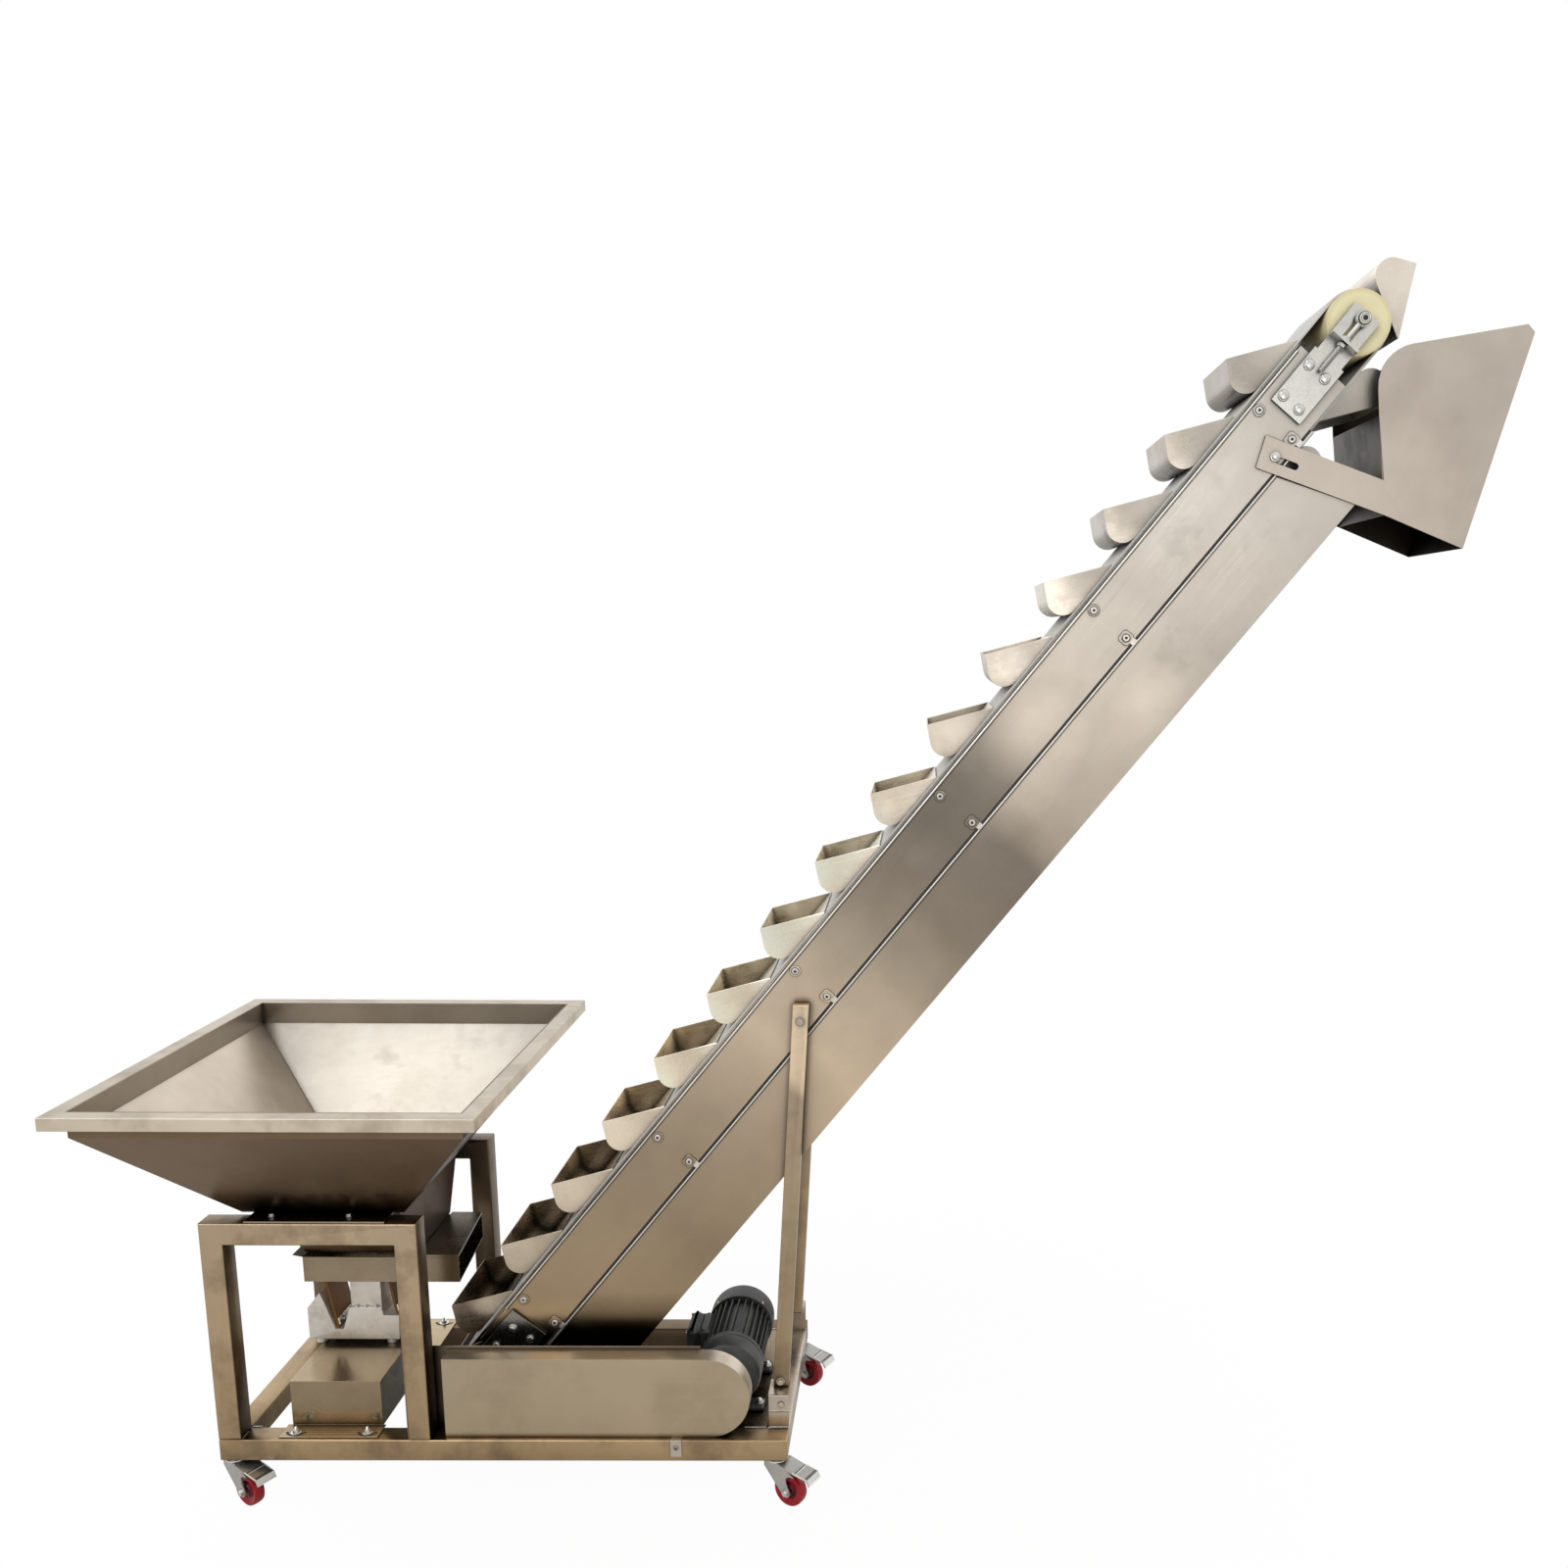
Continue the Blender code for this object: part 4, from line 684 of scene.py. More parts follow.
# %% Red polyurethane and black
def red_tyre(name="red_polyurethane", light=1.0):
    made, bench, shader = new_finish(name, 0.0)
    place = bench.place()
    cloud = bench.noise(place, 70.0, 4.0)
    dust = bench.patches(place, 120.0, 0.55, 0.80, roughness=0.7)
    tone = bench.colours(cloud, rgb(0.27 * light, 0.002, 0.008), rgb(0.42 * light, 0.005, 0.014))
    tone = bench.colours(0.10 * dust, tone, rgb(0.30, 0.20, 0.17))
    coat(bench, shader, tone, 0.34 + 0.24 * dust, bench.bump(cloud, 0.2, 0.0004))
    shader["Specular IOR Level"].default_value = 0.3
    shader["Coat Weight"].default_value = 0.12
    shader["Coat Roughness"].default_value = 0.12
    return made


def black_moulding():
    made, bench, shader = new_finish("black_moulding", 0.0)
    place = bench.place()
    grit = bench.noise(place, 500.0)
    dust = bench.patches(place, 50.0, 0.52, 0.80, roughness=0.7)
    tone = bench.colours(0.3 * dust, rgb(0.018, 0.018, 0.018), rgb(0.16, 0.15, 0.13))
    coat(bench, shader, tone, 0.42 + 0.15 * dust, bench.bump(grit, 0.3, 0.0003))
    return made


TYRE = red_tyre()
HUB = red_tyre("dark_red_hub", 0.28)
BLACK = black_moulding()
print("castor finishes", TYRE.name, HUB.name)

# %% [markdown]
# ## The belt and its buckets
# One packed node holds the white woven belt and the returning buckets, which are fused with it. The
# finish tells them apart by their distance from the belt's centre line: what stands further out than
# the belt's face is steel. That mask switches the colour, the metal and the roughness together.

# %% Belt finish
BELT_FACE = 0.0705


def white_belt():
    made, bench, shader = new_finish("white_belt", 0.0)
    place = bench.place()
    run = bench.along(place, UP_BELT)
    weave = bench.noise(bench.stack(run * 900.0, bench.along(place, ACROSS) * 900.0, 0.0), 1.0, 1.0)
    grime = bench.patches(place, 14.0, 0.48, 0.80)
    cloth = bench.colours(0.45 * grime, rgb(0.80, 0.79, 0.75), rgb(0.48, 0.44, 0.37))
    u = run - UP_BELT.dot(tail_shaft)
    v = bench.along(place, OFF_BELT) - OFF_BELT.dot(tail_shaft)
    beyond = u - bench.spread(u, 0.0, DRUM_SPACING, 0.0, DRUM_SPACING)
    steel = (beyond * beyond + v * v) ** 0.5 > BELT_FACE
    metal = bench.colours(bench.height(), rgb(0.34, 0.28, 0.21), rgb(0.62, 0.58, 0.53))
    tone = bench.colours(steel, cloth, metal)
    # Painted shade where other metal stands close, deeper on the buckets' steel.
    shade = bench.spread(bench.crevice(0.07), 0.20, 0.75, 0.66 - 0.41 * steel, 1.0)
    # Painted shade on the buckets' faces that look down.
    shade = shade * (1.0 - steel * bench.spread(bench.looks(), -0.5, 0.1, 0.85, 0.0))
    rough = 0.55 + 0.15 * weave - 0.28 * steel
    coat(bench, shader, bench.shaded(tone, shade), rough, bench.bump(weave, 0.35, 0.0003))
    bench.feed(shader["Metallic"], steel)
    return made


BELT = white_belt()
print("belt face", BELT_FACE, "m from the centre line of the loop")

# %% [markdown]
# ## Softening the packed nodes
# A packed node has crisp faceted edges. Real sheet has a small radius wherever it was folded or
# deburred, and that thin line of light is what makes metal look like metal. Three modifiers do it:
# Weld joins the facets, a small node group smooths what is nearly flat and keeps real corners sharp,
# and Bevel rolls the corners over. Modifiers leave the packed mesh itself untouched.

# %% Smoothing group and soften
CORNER_ANGLE = math.radians(28)
WELD_DISTANCE = 0.00002


def smoothing_group():
    group = bpy.data.node_groups.new("smooth_by_corner", "GeometryNodeTree")
    for way in ("INPUT", "OUTPUT"):
        group.interface.new_socket("Geometry", in_out=way, socket_type="NodeSocketGeometry")
    bench = Bench(group)
    start = bench.node("NodeGroupInput", {}, {})
    corner = bench.node("GeometryNodeInputMeshEdgeAngle", {}, {})
    settings = {"data_type": "FLOAT", "operation": "LESS_THAN"}
    gentle = bench.node("FunctionNodeCompare", settings, {"A": corner, "B": CORNER_ANGLE})
    faces = bench.node("GeometryNodeSetShadeSmooth", {"domain": "FACE"}, {0: start, 2: True})
    edges = bench.node("GeometryNodeSetShadeSmooth", {"domain": "EDGE"}, {0: faces, 2: gentle})
    bench.node("NodeGroupOutput", {}, {0: edges})
    return group


SMOOTH = smoothing_group()


def soften(thing, edge):
    weld = thing.modifiers.new("weld", "WELD")
    weld.merge_threshold = WELD_DISTANCE
    smooth = thing.modifiers.new("smooth", "NODES")
    smooth.node_group = SMOOTH
    if edge:
        roll = thing.modifiers.new("rolled_edges", "BEVEL")
        roll.width = edge
        roll.segments = 2
        roll.limit_method = "ANGLE"
        roll.angle_limit = CORNER_ANGLE
        roll.harden_normals = True


print("corners sharper than", round(math.degrees(CORNER_ANGLE)), "degrees stay sharp")

# %% [markdown]
# ## Dressing the packed nodes
# Every node gets its finish in its slots and an edge radius. Drawn tube has a wide round edge, cut
# sheet hardly any. The chute's thin sheet meets at sharp angles where a rolled edge would grow a
# spike, so it has none. The finishes stay apart from the shapes, so one can change without the other.

# %% Dress every node
TUBE_EDGE, SHEET_EDGE = 0.0016, 0.0004
CORNERS = {
    "front_left": (0.025, 0.025), "front_right": (1.225, 0.025),
    "rear_left": (0.025, 0.505), "rear_right": (1.225, 0.505),
}
DRESSING = [
    (FRAME_X, TUBE_EDGE, ["front_rail"]),
    (FRAME_Y, TUBE_EDGE, ["left_cross_beam", "support_cross_beam"]),
    (FRAME_Z, TUBE_EDGE, ["front_portal"]),
    (BACK_X, TUBE_EDGE, ["rear_rail"]),
    (BACK_Z, TUBE_EDGE, ["rear_portal"]),
    (LEG, TUBE_EDGE, ["near_leg", "far_leg"]),
    (BRACKET, SHEET_EDGE, ["right_cross_beam"]),
    (GUARD, 0.0020, ["chain_guard"]),
    (RIM, 0.0014, ["hopper_rim"]),
    (HOPPER, SHEET_EDGE, ["hopper_cone"]),
    (STAND, 0.0010, ["feeder_stand"]),
    (FEEDER, 0.0008, ["feeder_tray"]),
    (FEEDER, SHEET_EDGE, ["front_hopper_mount", "rear_hopper_mount", "tray_cover"]),
    (FEEDER, SHEET_EDGE, ["motor_plate", "tail_drum"]),
    (CASING, SHEET_EDGE, ["near_side_plate", "far_side_plate", "belt_bed"]),
    (RETURN, SHEET_EDGE, ["return_casing"]),
    (BELT, SHEET_EDGE, ["bucket_belt"]),
    (BUCKET, SHEET_EDGE, [f"bucket_{number:02d}" for number in range(1, 17)]),
    (CHUTE, 0.0, ["discharge_chute"]),
    (ZINC, SHEET_EDGE, ["near_takeup", "far_takeup"]),
    (TAIL_PLATE, SHEET_EDGE, ["near_tail_plate", "far_tail_plate"]),
    (NYLON, SHEET_EDGE, ["head_drum"]),
    (PAINT, SHEET_EDGE, ["gearmotor"]),
    (CASTING, SHEET_EDGE, ["vibrator_body", "magnet_housing"]),
    (LAMINATE, SHEET_EDGE, ["left_leaf_spring", "right_leaf_spring"]),
    (FORK, SHEET_EDGE, [f"{corner}_fork" for corner in CORNERS]),
    (TYRE, SHEET_EDGE, [f"{corner}_wheel" for corner in CORNERS]),
]
for finish, edge, nodes in DRESSING:
    for node in nodes:
        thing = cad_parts[node]
        for slot in thing.material_slots:
            slot.material = finish
        soften(thing, edge)
print("dressed", sum(len(nodes) for finish, edge, nodes in DRESSING), "nodes")

# %% [markdown]
# ## Rings of points
# Nuts, bolts, washers, weld beads and folded lips are all rings of points joined to the next ring.
# A round ring and a hexagon differ only in how far each point stands from the middle, so one function
# makes both and everything between, which gives a nut its chamfer. The other ring is a rectangle.


# %% Round, hexagonal and square rings
def ring(radius, z, sides=24, hexagon=0.0):
    """A level ring of points: round at 0, a true hexagon of that flat radius at 1."""
    points = []
    for step in range(sides):
        turn = math.tau * step / sides
        flat = radius / math.cos((turn + math.pi / 6) % (math.pi / 3) - math.pi / 6)
        reach = radius + hexagon * (flat - radius)
        points.append((reach * math.cos(turn), reach * math.sin(turn), z))
    return points


def plate_ring(half_x, half_y, z, corner=0.0):
    """A level rectangle, its corners cut by the given size."""
    points = []
    for sign_x, sign_y, swap in ((1, -1, 0), (1, 1, 1), (-1, 1, 0), (-1, -1, 1)):
        first = (sign_x * (half_x - corner), sign_y * half_y, z)
        second = (sign_x * half_x, sign_y * (half_y - corner), z)
        points += [second, first] if swap else [first, second]
    return points


print("a ring has", len(ring(1.0, 0.0)), "points, a plate ring", len(plate_ring(1.0, 1.0, 0.0)))

# %% [markdown]
# ## Blank: one mesh from many shapes
# A Blank gathers many closed shapes into one mesh, so all the screws of the casing are one piece.
# Each shape is drawn round its own Z axis and a matrix puts it on the sheet that carries it. Loft
# joins rings, turned makes what a lathe would, slab makes a small plate with cut edges, and sweep
# draws a bead or a wire along a path. The piece method ends the work: it makes the object and lets it
# ride on its body.


# %% Blank
class Blank:
    """Many closed shapes gathered into one mesh."""

    def __init__(self):
        self.points = []
        self.faces = []
        self.slots = []

    def loft(self, rings, turn=Matrix(), closed=False, slot=0):
        start = len(self.points)
        sides = len(rings[0])
        for points in rings:
            self.points += [turn @ Vector(point) for point in points]
        count = len(rings)
        for row in range(count if closed else count - 1):
            low = start + row * sides
            high = start + (row + 1) % count * sides
            for side in range(sides):
                following = (side + 1) % sides
                self.faces.append((low + side, low + following, high + following, high + side))
                self.slots.append(slot)
        if not closed:
            self.faces.append(tuple(reversed(range(start, start + sides))))
            self.faces.append(tuple(range(start + (count - 1) * sides, start + count * sides)))
            self.slots += [slot, slot]

    def turned(self, profile, turn=Matrix(), sides=32, closed=False, slot=0):
        self.loft([ring(radius, z, sides) for radius, z in profile], turn, closed, slot)

    def slab(self, low, high, turn=Matrix(), corner=0.0005, slot=0):
        """A block whose long edges are cut, from its lowest to its highest corner."""
        middle = (Vector(low) + Vector(high)) / 2
        half = (Vector(high) - Vector(low)) / 2
        cut = min(corner, 0.5 * half.z)
        levels = ((cut, -half.z), (0, -half.z + cut), (0, half.z - cut), (cut, half.z))
        rings = [plate_ring(half.x - inset, half.y - inset, z, corner) for inset, z in levels]
        self.loft(rings, turn @ Matrix.Translation(middle), slot=slot)

    def sweep(self, path, radius, flatten=1.0, sides=8, ripple=0.0, slot=0):
        """A bead or wire along a path. The ripple swells it at every other point."""
        rings = []
        for index, place in enumerate(path):
            before = path[max(index - 1, 0)]
            after = path[min(index + 1, len(path) - 1)]
            tangent = (after - before).normalized()
            side = tangent.cross(Vector((0, 0, 1)))
            if side.length < 0.05:
                side = tangent.cross(Vector((0, 1, 0)))
            side.normalize()
            rise = flatten * side.cross(tangent)
            size = radius * (1 + ripple * (1 if index % 2 else -1))
            turns = [math.tau * step / sides for step in range(sides)]
            rings.append([place + size * (math.cos(a) * side + math.sin(a) * rise) for a in turns])
        self.loft(rings, slot=slot)

    def piece(self, name, finishes, body="machine", edge=0.0, replaced=()):
        mesh = bpy.data.meshes.new(name)
        mesh.from_pydata([tuple(point) for point in self.points], [], self.faces)
        for finish in finishes:
            mesh.materials.append(finish)
        mesh.polygons.foreach_set("material_index", self.slots)
        shape = bmesh.new()
        shape.from_mesh(mesh)
        bmesh.ops.recalc_face_normals(shape, faces=shape.faces)
        shape.to_mesh(mesh)
        shape.free()
        made = bpy.data.objects.new(name, mesh)
        bpy.context.scene.collection.objects.link(made)
        soften(made, edge)
        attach(made, body)
        if replaced:
            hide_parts(*replaced)
        print(name, len(self.faces), "faces on", body)


def between(start, end, count):
    """Evenly spaced points from start to end, count steps in all."""
    return [start.lerp(end, step / count) for step in range(count + 1)]


print("shapes of a blank: loft, turned, slab, sweep")

# %% [markdown]
# ## Bolts and screws
# Two fasteners serve the whole machine. A hexagon bolt has a washer, a head with its chamfer and, when
# it comes from below, the end of its thread. A socket screw has a round head with a black hexagon in
# it, the painted shade of its socket, and a dark ring of painted shade round the head. A thin dark line
# round a washer is painted contact shadow together with oil and dust, and a flat ring draws it.

# %% Fastener shapes
WASHER_TOP = 0.0014
THREAD_PITCH = 0.0011
WIDE_WASHER = 0.011
SHADE_AND_GRIME = Blank()


def shade_and_grime_ring(turn, radius):
    """The thin dark line round a washer: painted contact shadow, with oil and dust."""
    SHADE_AND_GRIME.turned([(radius + 0.0008, -0.0003), (radius + 0.0008, 0.0004)], turn, 24)


def hex_bolt(blank, turn, flats, head, washer, shank=0.0, slot=0):
    """A washer with a hexagon head on it, and the end of its thread if it has one."""
    half = flats / 2
    shade_and_grime_ring(turn, washer)
    disc = [(washer, 0), (washer, 0.0011), (washer - 0.0006, WASHER_TOP), (half, WASHER_TOP)]
    blank.turned(disc, turn, slot=slot)
    top = WASHER_TOP + head
    blank.loft([ring(half, 0.0012, 24, 1), ring(half, top - 0.0009, 24, 1),
                ring(half * 0.99, top - 0.0003, 24, 0.25), ring(half * 0.90, top, 24)],
               turn, slot=slot)
    if shank:
        profile = []
        ridges = max(3, int(shank / THREAD_PITCH))
        for ridge in range(ridges):
            z = top + shank * ridge / ridges
            profile += [(half * 0.56, z), (half * 0.48, z + shank / ridges / 2)]
        profile.append((half * 0.40, top + shank))
        blank.turned(profile, turn, 16, slot=slot)


def socket_screw(blank, turn, radius=0.0074, rise=0.0040, washer=0.0118):
    """A round headed screw on a washer. Its slots are the washer, the dark lines of painted shade and
    the head.
    """
    if washer > WIDE_WASHER:
        shade_and_grime_ring(turn, washer)
    disc = [(washer, 0), (washer, 0.0010), (washer - 0.0008, WASHER_TOP), (radius, WASHER_TOP)]
    blank.turned(disc, turn)
    blank.turned([(radius + 0.0013, 0.0012), (radius + 0.0013, 0.0016)], turn, slot=1)
    head = [ring(radius, 0.0013), ring(radius * 0.98, 0.0026), ring(radius * 0.82, rise)]
    blank.loft(head, turn, slot=2)
    socket = [ring(0.0030, rise - 0.0004, 24, 1), ring(0.0029, rise + 0.0003, 24, 1)]
    blank.loft(socket, turn, slot=1)


print("fastener shapes ready")

# %% [markdown]
# ## Screws and clips of the casing
# The side plates are held by round socket screws near the upper edge and by square clips near the
# lower one, six pairs a side. A clip has a small tab that bridges the gap to the return tray. The real
# screws stand on the sheet, so each is placed by its distance along the belt and drawn straight out
# of the side. The thin dark rim round a clip, a painted shade, is a wider, flatter slab under it.

# %% Casing screws and clips
SCREW_PLACES = (0.194, 0.691, 1.178, 1.668, 2.164, 2.672)
SCREW_ROW = 0.042
CLIP_ROW = -0.0455
CLIP_HALF = 0.0130
CLIP_RIM = 0.0010
TAB_OUT = 0.0165


def on_side(u, v, out, side):
    """A matrix on a side of the casing: X runs up the belt and Z out of the plate."""
    z_axis = side * ACROSS
    turn = Matrix((UP_BELT, z_axis.cross(UP_BELT), z_axis)).transposed().to_4x4()
    return Matrix.Translation(on_belt(u, side * (CASING_HALF + out), v)) @ turn


def lift(distance):
    return Matrix.Translation((0, 0, distance))


def square_plate(blank, half, rise, place, corner, slot=0):
    blank.slab((-half, -half, 0), (half, half, rise), place, corner, slot)


def casing_screws():
    screws, clips = Blank(), Blank()
    for side in (-1, 1):
        tab = side * TAB_OUT
        for u in SCREW_PLACES:
            socket_screw(screws, on_side(u, SCREW_ROW, 0, side), washer=0.0122)
            place = on_side(u, CLIP_ROW, 0, side)
            # The wider dark slab under each clip paints its shade.
            square_plate(clips, CLIP_HALF + CLIP_RIM, 0.0005, place, 0.005, slot=1)
            square_plate(clips, CLIP_HALF, 0.0016, place, 0.0045)
            clips.slab((-0.003, tab - 0.006, 0), (0.011, tab + 0.006, 0.0012), place, slot=2)
            socket_screw(screws, place @ lift(0.0015), washer=0.0100)
    screws.piece("casing_screws", [CLIP_STEEL, BLACK, SCREW_STEEL])
    clips.piece("casing_clips", [CLIP_STEEL, BLACK, SCREW_STEEL], edge=0.0003)


casing_screws()

# %% [markdown]
# ## Folded edges and gaps
# Along the top of each side plate and of the return tray the sheet is folded over, and the fold
# catches the light. Beside it runs a gap in shade. At this distance both are lines a few millimetres
# wide, so each is a thin wire swept from end to end: the fold a near-white steel wire, partly a painted
# highlight, and the gap a black wire, a painted shade.

# %% Edge and gap lines
SIDE_TOP, RETURN_TOP = 0.0605, -0.0665
SIDE_RUN = (0.150, DRUM_SPACING - 0.120)
TOP_GAP_RUN = (0.150, DRUM_SPACING - 0.10)
RETURN_RUN = (0.140, DRUM_SPACING - 0.215)


def side_line(blank, run, y, v, radius, sides=8):
    blank.sweep([on_belt(run[0], y, v), on_belt(run[1], y, v)], radius, sides=sides)


def edge_lines():
    bright, gap = Blank(), Blank()
    for side in (-1, 1):
        fold, skin, deep = [side * (CASING_HALF + out) for out in (-0.0010, 0.0003, -0.0036)]
        # Near-white wires are partly painted highlights on the folds, black wires painted shade in the
        # gaps.
        for run, top in ((SIDE_RUN, SIDE_TOP), (RETURN_RUN, RETURN_TOP)):
            side_line(bright, run, fold, top - 0.0012, 0.0020, 10)
            side_line(gap, run, skin, top - 0.0046, 0.0007)
        side_line(gap, TOP_GAP_RUN, deep, SIDE_TOP + 0.0010, 0.0026)
        side_line(gap, RETURN_RUN, deep, (RETURN_TOP - SIDE_TOP) / 2, 0.0032)
    bright.piece("casing_edges", [EDGE_STEEL])
    gap.piece("casing_gap_shade", [BLACK])


edge_lines()

# %% [markdown]
# ## Bolts and take-up screws of the drums
# The zinc plates that carry the drums have four hexagon bolts each. The take-up pulls the head shaft
# along with a threaded rod, with a nut on both sides of its stop, and the shaft ends in a clamped
# ring. A thread is a profile of ridges, close enough at this size to a real helix and far lighter.

# %% Plate bolts, threads and shaft ends
PLATE_OUT = 0.0063
ROD_OUT = PLATE_OUT + 0.015
TAKEUP_BOLTS = ((-0.127, 0.024), (-0.127, -0.018), (-0.203, 0.024), (-0.203, -0.018))
TAIL_BOLTS = ((0.069, 0.024), (0.127, 0.020), (0.130, -0.026), (0.072, -0.026))
THREAD_START, THREAD_LENGTH, THREAD_RIDGES = -0.1256, 0.058, 34
TAKEUP_NUTS = ((-0.0690, -0.0612), (-0.0538, -0.0470))


def plate_bolts():
    bolts = Blank()
    for side in (-1, 1):
        for u, v in TAKEUP_BOLTS:
            hex_bolt(bolts, on_side(DRUM_SPACING + u, v, PLATE_OUT, side), 0.016, 0.0065, 0.0108)
        for u, v in TAIL_BOLTS:
            hex_bolt(bolts, on_side(u, v, PLATE_OUT, side), 0.013, 0.0055, 0.0095)
    bolts.piece("plate_bolts", [ZINC])


def takeup_threads():
    thread = Blank()
    pitch = THREAD_LENGTH / THREAD_RIDGES
    profile = []
    for ridge in range(THREAD_RIDGES):
        z = THREAD_START + pitch * ridge
        profile += [(0.0049, z), (0.0057, z + pitch / 2)]
    for side in (-1, 1):
        place = on_side(DRUM_SPACING, 0, ROD_OUT, side) @ Matrix.Rotation(math.pi / 2, 4, "Y")
        thread.turned(profile, place, 16)
        for low, high in TAKEUP_NUTS:
            thread.loft([ring(0.0076, low, 24, 0.2), ring(0.0080, low + 0.0008, 24, 1),
                         ring(0.0080, high - 0.0008, 24, 1), ring(0.0076, high, 24, 0.2)], place)
    thread.piece("takeup_threads", [ZINC])


def shaft_ends():
    ends = Blank()
    out = abs(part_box("head_drum")[0].y) - CASING_HALF
    for side in (-1, 1):
        face = on_side(DRUM_SPACING, 0, out, side)
        # The black slot paints shade under and round the clamped ring and in its hexagon socket.
        ends.turned([(0.0128, 0.0002), (0.0128, 0.0012), (0.0100, 0.0014)], face, slot=1)
        ends.turned([(0.0108, -0.004), (0.0112, -0.001), (0.0112, 0.0030), (0.0102, 0.0042)], face)
        ends.turned([(0.0084, 0.0040), (0.0084, 0.0044)], face, slot=1)
        ends.turned([(0.0074, 0.0042), (0.0074, 0.0047)], face)
        ends.loft([ring(0.0050, 0.0045, 24, 1), ring(0.0050, 0.0050, 24, 1)], face, slot=1)
    ends.piece("shaft_ends", [SCREW_STEEL, BLACK])


plate_bolts()
takeup_threads()
shaft_ends()

# %% [markdown]
# ## Bolts of the base
# The feeder stand is clamped through curved slots, the hopper strips and the legs by hexagon bolts,
# and the chute's arms by one bolt a side. Places are measured from the base's front left corner, and
# the machine is the same front and back, so each bolt is placed once and mirrored.

# %% Frame bolts
MACHINE_DEPTH = 2 * -base_corner.y
HOPPER_BOLTS = (0.1455, 0.3112)
STAND_STUDS = (0.159, 0.317)
FLANGE_TOP = 0.0523
BRACKET_FACE = 0.0515
LEG_OUT = -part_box("near_leg")[0].y
BRACKET_OUT = MACHINE_DEPTH / 2 - BRACKET_FACE
ARM_OUT = abs(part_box("discharge_chute")[0].y)
# Each row: x, z, distance from the middle plane, head height, washer radius, slot.
SIDE_BOLTS = (
    (1.282, 0.985, LEG_OUT, 0.0055, 0.0095, 1),
    (1.2285, 0.1425, LEG_OUT, 0.0055, 0.0095, 1),
    (1.2324, 0.1067, BRACKET_OUT, 0.0045, 0.0105, 1),
    (2.2485, 2.1590, ARM_OUT, 0.006, 0.0102, 0),
)


def both_rows(y):
    return (y, MACHINE_DEPTH - y)


def upright(x, y, z):
    """A matrix that stands on a level face, in base coordinates."""
    return facing(at(x, y, z), Vector(UPWARD), ACROSS)


def curved_slot(x, y):
    turns = [math.radians(185 + 10 * step) for step in range(18)]
    return [at(x + 0.020 * math.cos(a), y + 0.014 * math.sin(a) + 0.003, FLANGE_TOP) for a in turns]


def frame_bolts():
    bolts, slots = Blank(), Blank()
    strip_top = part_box("front_hopper_mount")[1].z - base_corner.z
    for y in both_rows(0.0295):
        for x in HOPPER_BOLTS:
            hex_bolt(bolts, upright(x, y, strip_top), 0.010, 0.005, 0.0075)
    for y in both_rows(0.026):
        for x in STAND_STUDS:
            hex_bolt(bolts, upright(x, y, FLANGE_TOP), 0.012, 0.006, 0.0115, 0.007)
            # Black wires paint the shade in the curved slots.
            slots.sweep(curved_slot(x, y), 0.0028, 0.16)
    for side in (-1, 1):
        for x, z, out, head, washer, slot in SIDE_BOLTS:
            place = at(x, 0, z)
            place.y = side * out
            hex_bolt(bolts, facing(place, side * ACROSS), 0.013, head, washer, slot=slot)
    bolts.piece("frame_bolts", [ZINC, LEG_BOLT])
    slots.piece("stand_slots", [BLACK])


frame_bolts()

# %% [markdown]
# ## Strap, bracket folds and back sheet
# A small folded strap holds the chain guard to the front rail with one screw, on a slightly larger dark
# slab that paints its shade. The leg brackets are folded plates whose upper half stands out over the
# lower one, with a painted highlight on the fold and on the top edge, and a line of painted shade
# between the halves. Behind the guard stands the sheet that it is screwed to, its dark tone painted
# shade, seen past its left end and above it. Each is a few thin slabs, within a fraction of a
# millimetre of the metal that carries it.

# %% Strap, brackets and back sheet
STRAP_X, STRAP_Z = 1.005, 0.0335
BRACKET_LEFT, BRACKET_RIGHT = 1.2045, 1.2495
# Each fold: its lower and upper edge and how far it stands out. Each line: z, how far out, slot.
FOLDS = ((0.0905, 0.1290, 0.0016), (0.0530, 0.0905, 0.0008))
# Lines in slot 1 are painted highlights, the line in slot 2 painted shade.
FOLD_LINES = ((0.0912, 0.0018, 1), (0.1286, 0.0018, 1), (0.0888, 0.0010, 2))


def guard_strap():
    strap = Blank()
    place = facing(at(STRAP_X, 0, STRAP_Z), -ACROSS)
    # A slightly larger dark slab under the strap paints its shade.
    strap.slab((-0.0129, -0.0224, 0.0001), (0.0129, 0.0174, 0.0004), place, slot=1)
    strap.slab((-0.0125, -0.022, 0.0003), (0.0125, 0.0175, 0.0015), place)
    strap.slab((-0.0125, 0.0150, -0.0120), (0.0125, 0.0172, 0.0014), place)
    socket_screw(strap, place @ lift(0.0013), 0.0042, 0.0030, 0.0062)
    strap.piece("guard_strap", [BRACKET, BLACK, SCREW_STEEL], edge=0.0003)


def bracket_plates():
    plates = Blank()
    for near in (True, False):
        for low, high, out in FOLDS:
            y_outer, y_inner = BRACKET_FACE - out, BRACKET_FACE - 0.0002
            if not near:
                y_outer, y_inner = MACHINE_DEPTH - y_inner, MACHINE_DEPTH - y_outer
            plates.slab(at(BRACKET_LEFT, y_outer, low), at(BRACKET_RIGHT, y_inner, high))
        for z, out, slot in FOLD_LINES:
            y = both_rows(BRACKET_FACE - out)[0 if near else 1]
            path = [at(BRACKET_LEFT + 0.0005, y, z), at(BRACKET_RIGHT - 0.0005, y, z)]
            plates.sweep(path, 0.0011, 0.8, slot=slot)
    plates.piece("bracket_plates", [BRACKET, EDGE_STEEL, BLACK])


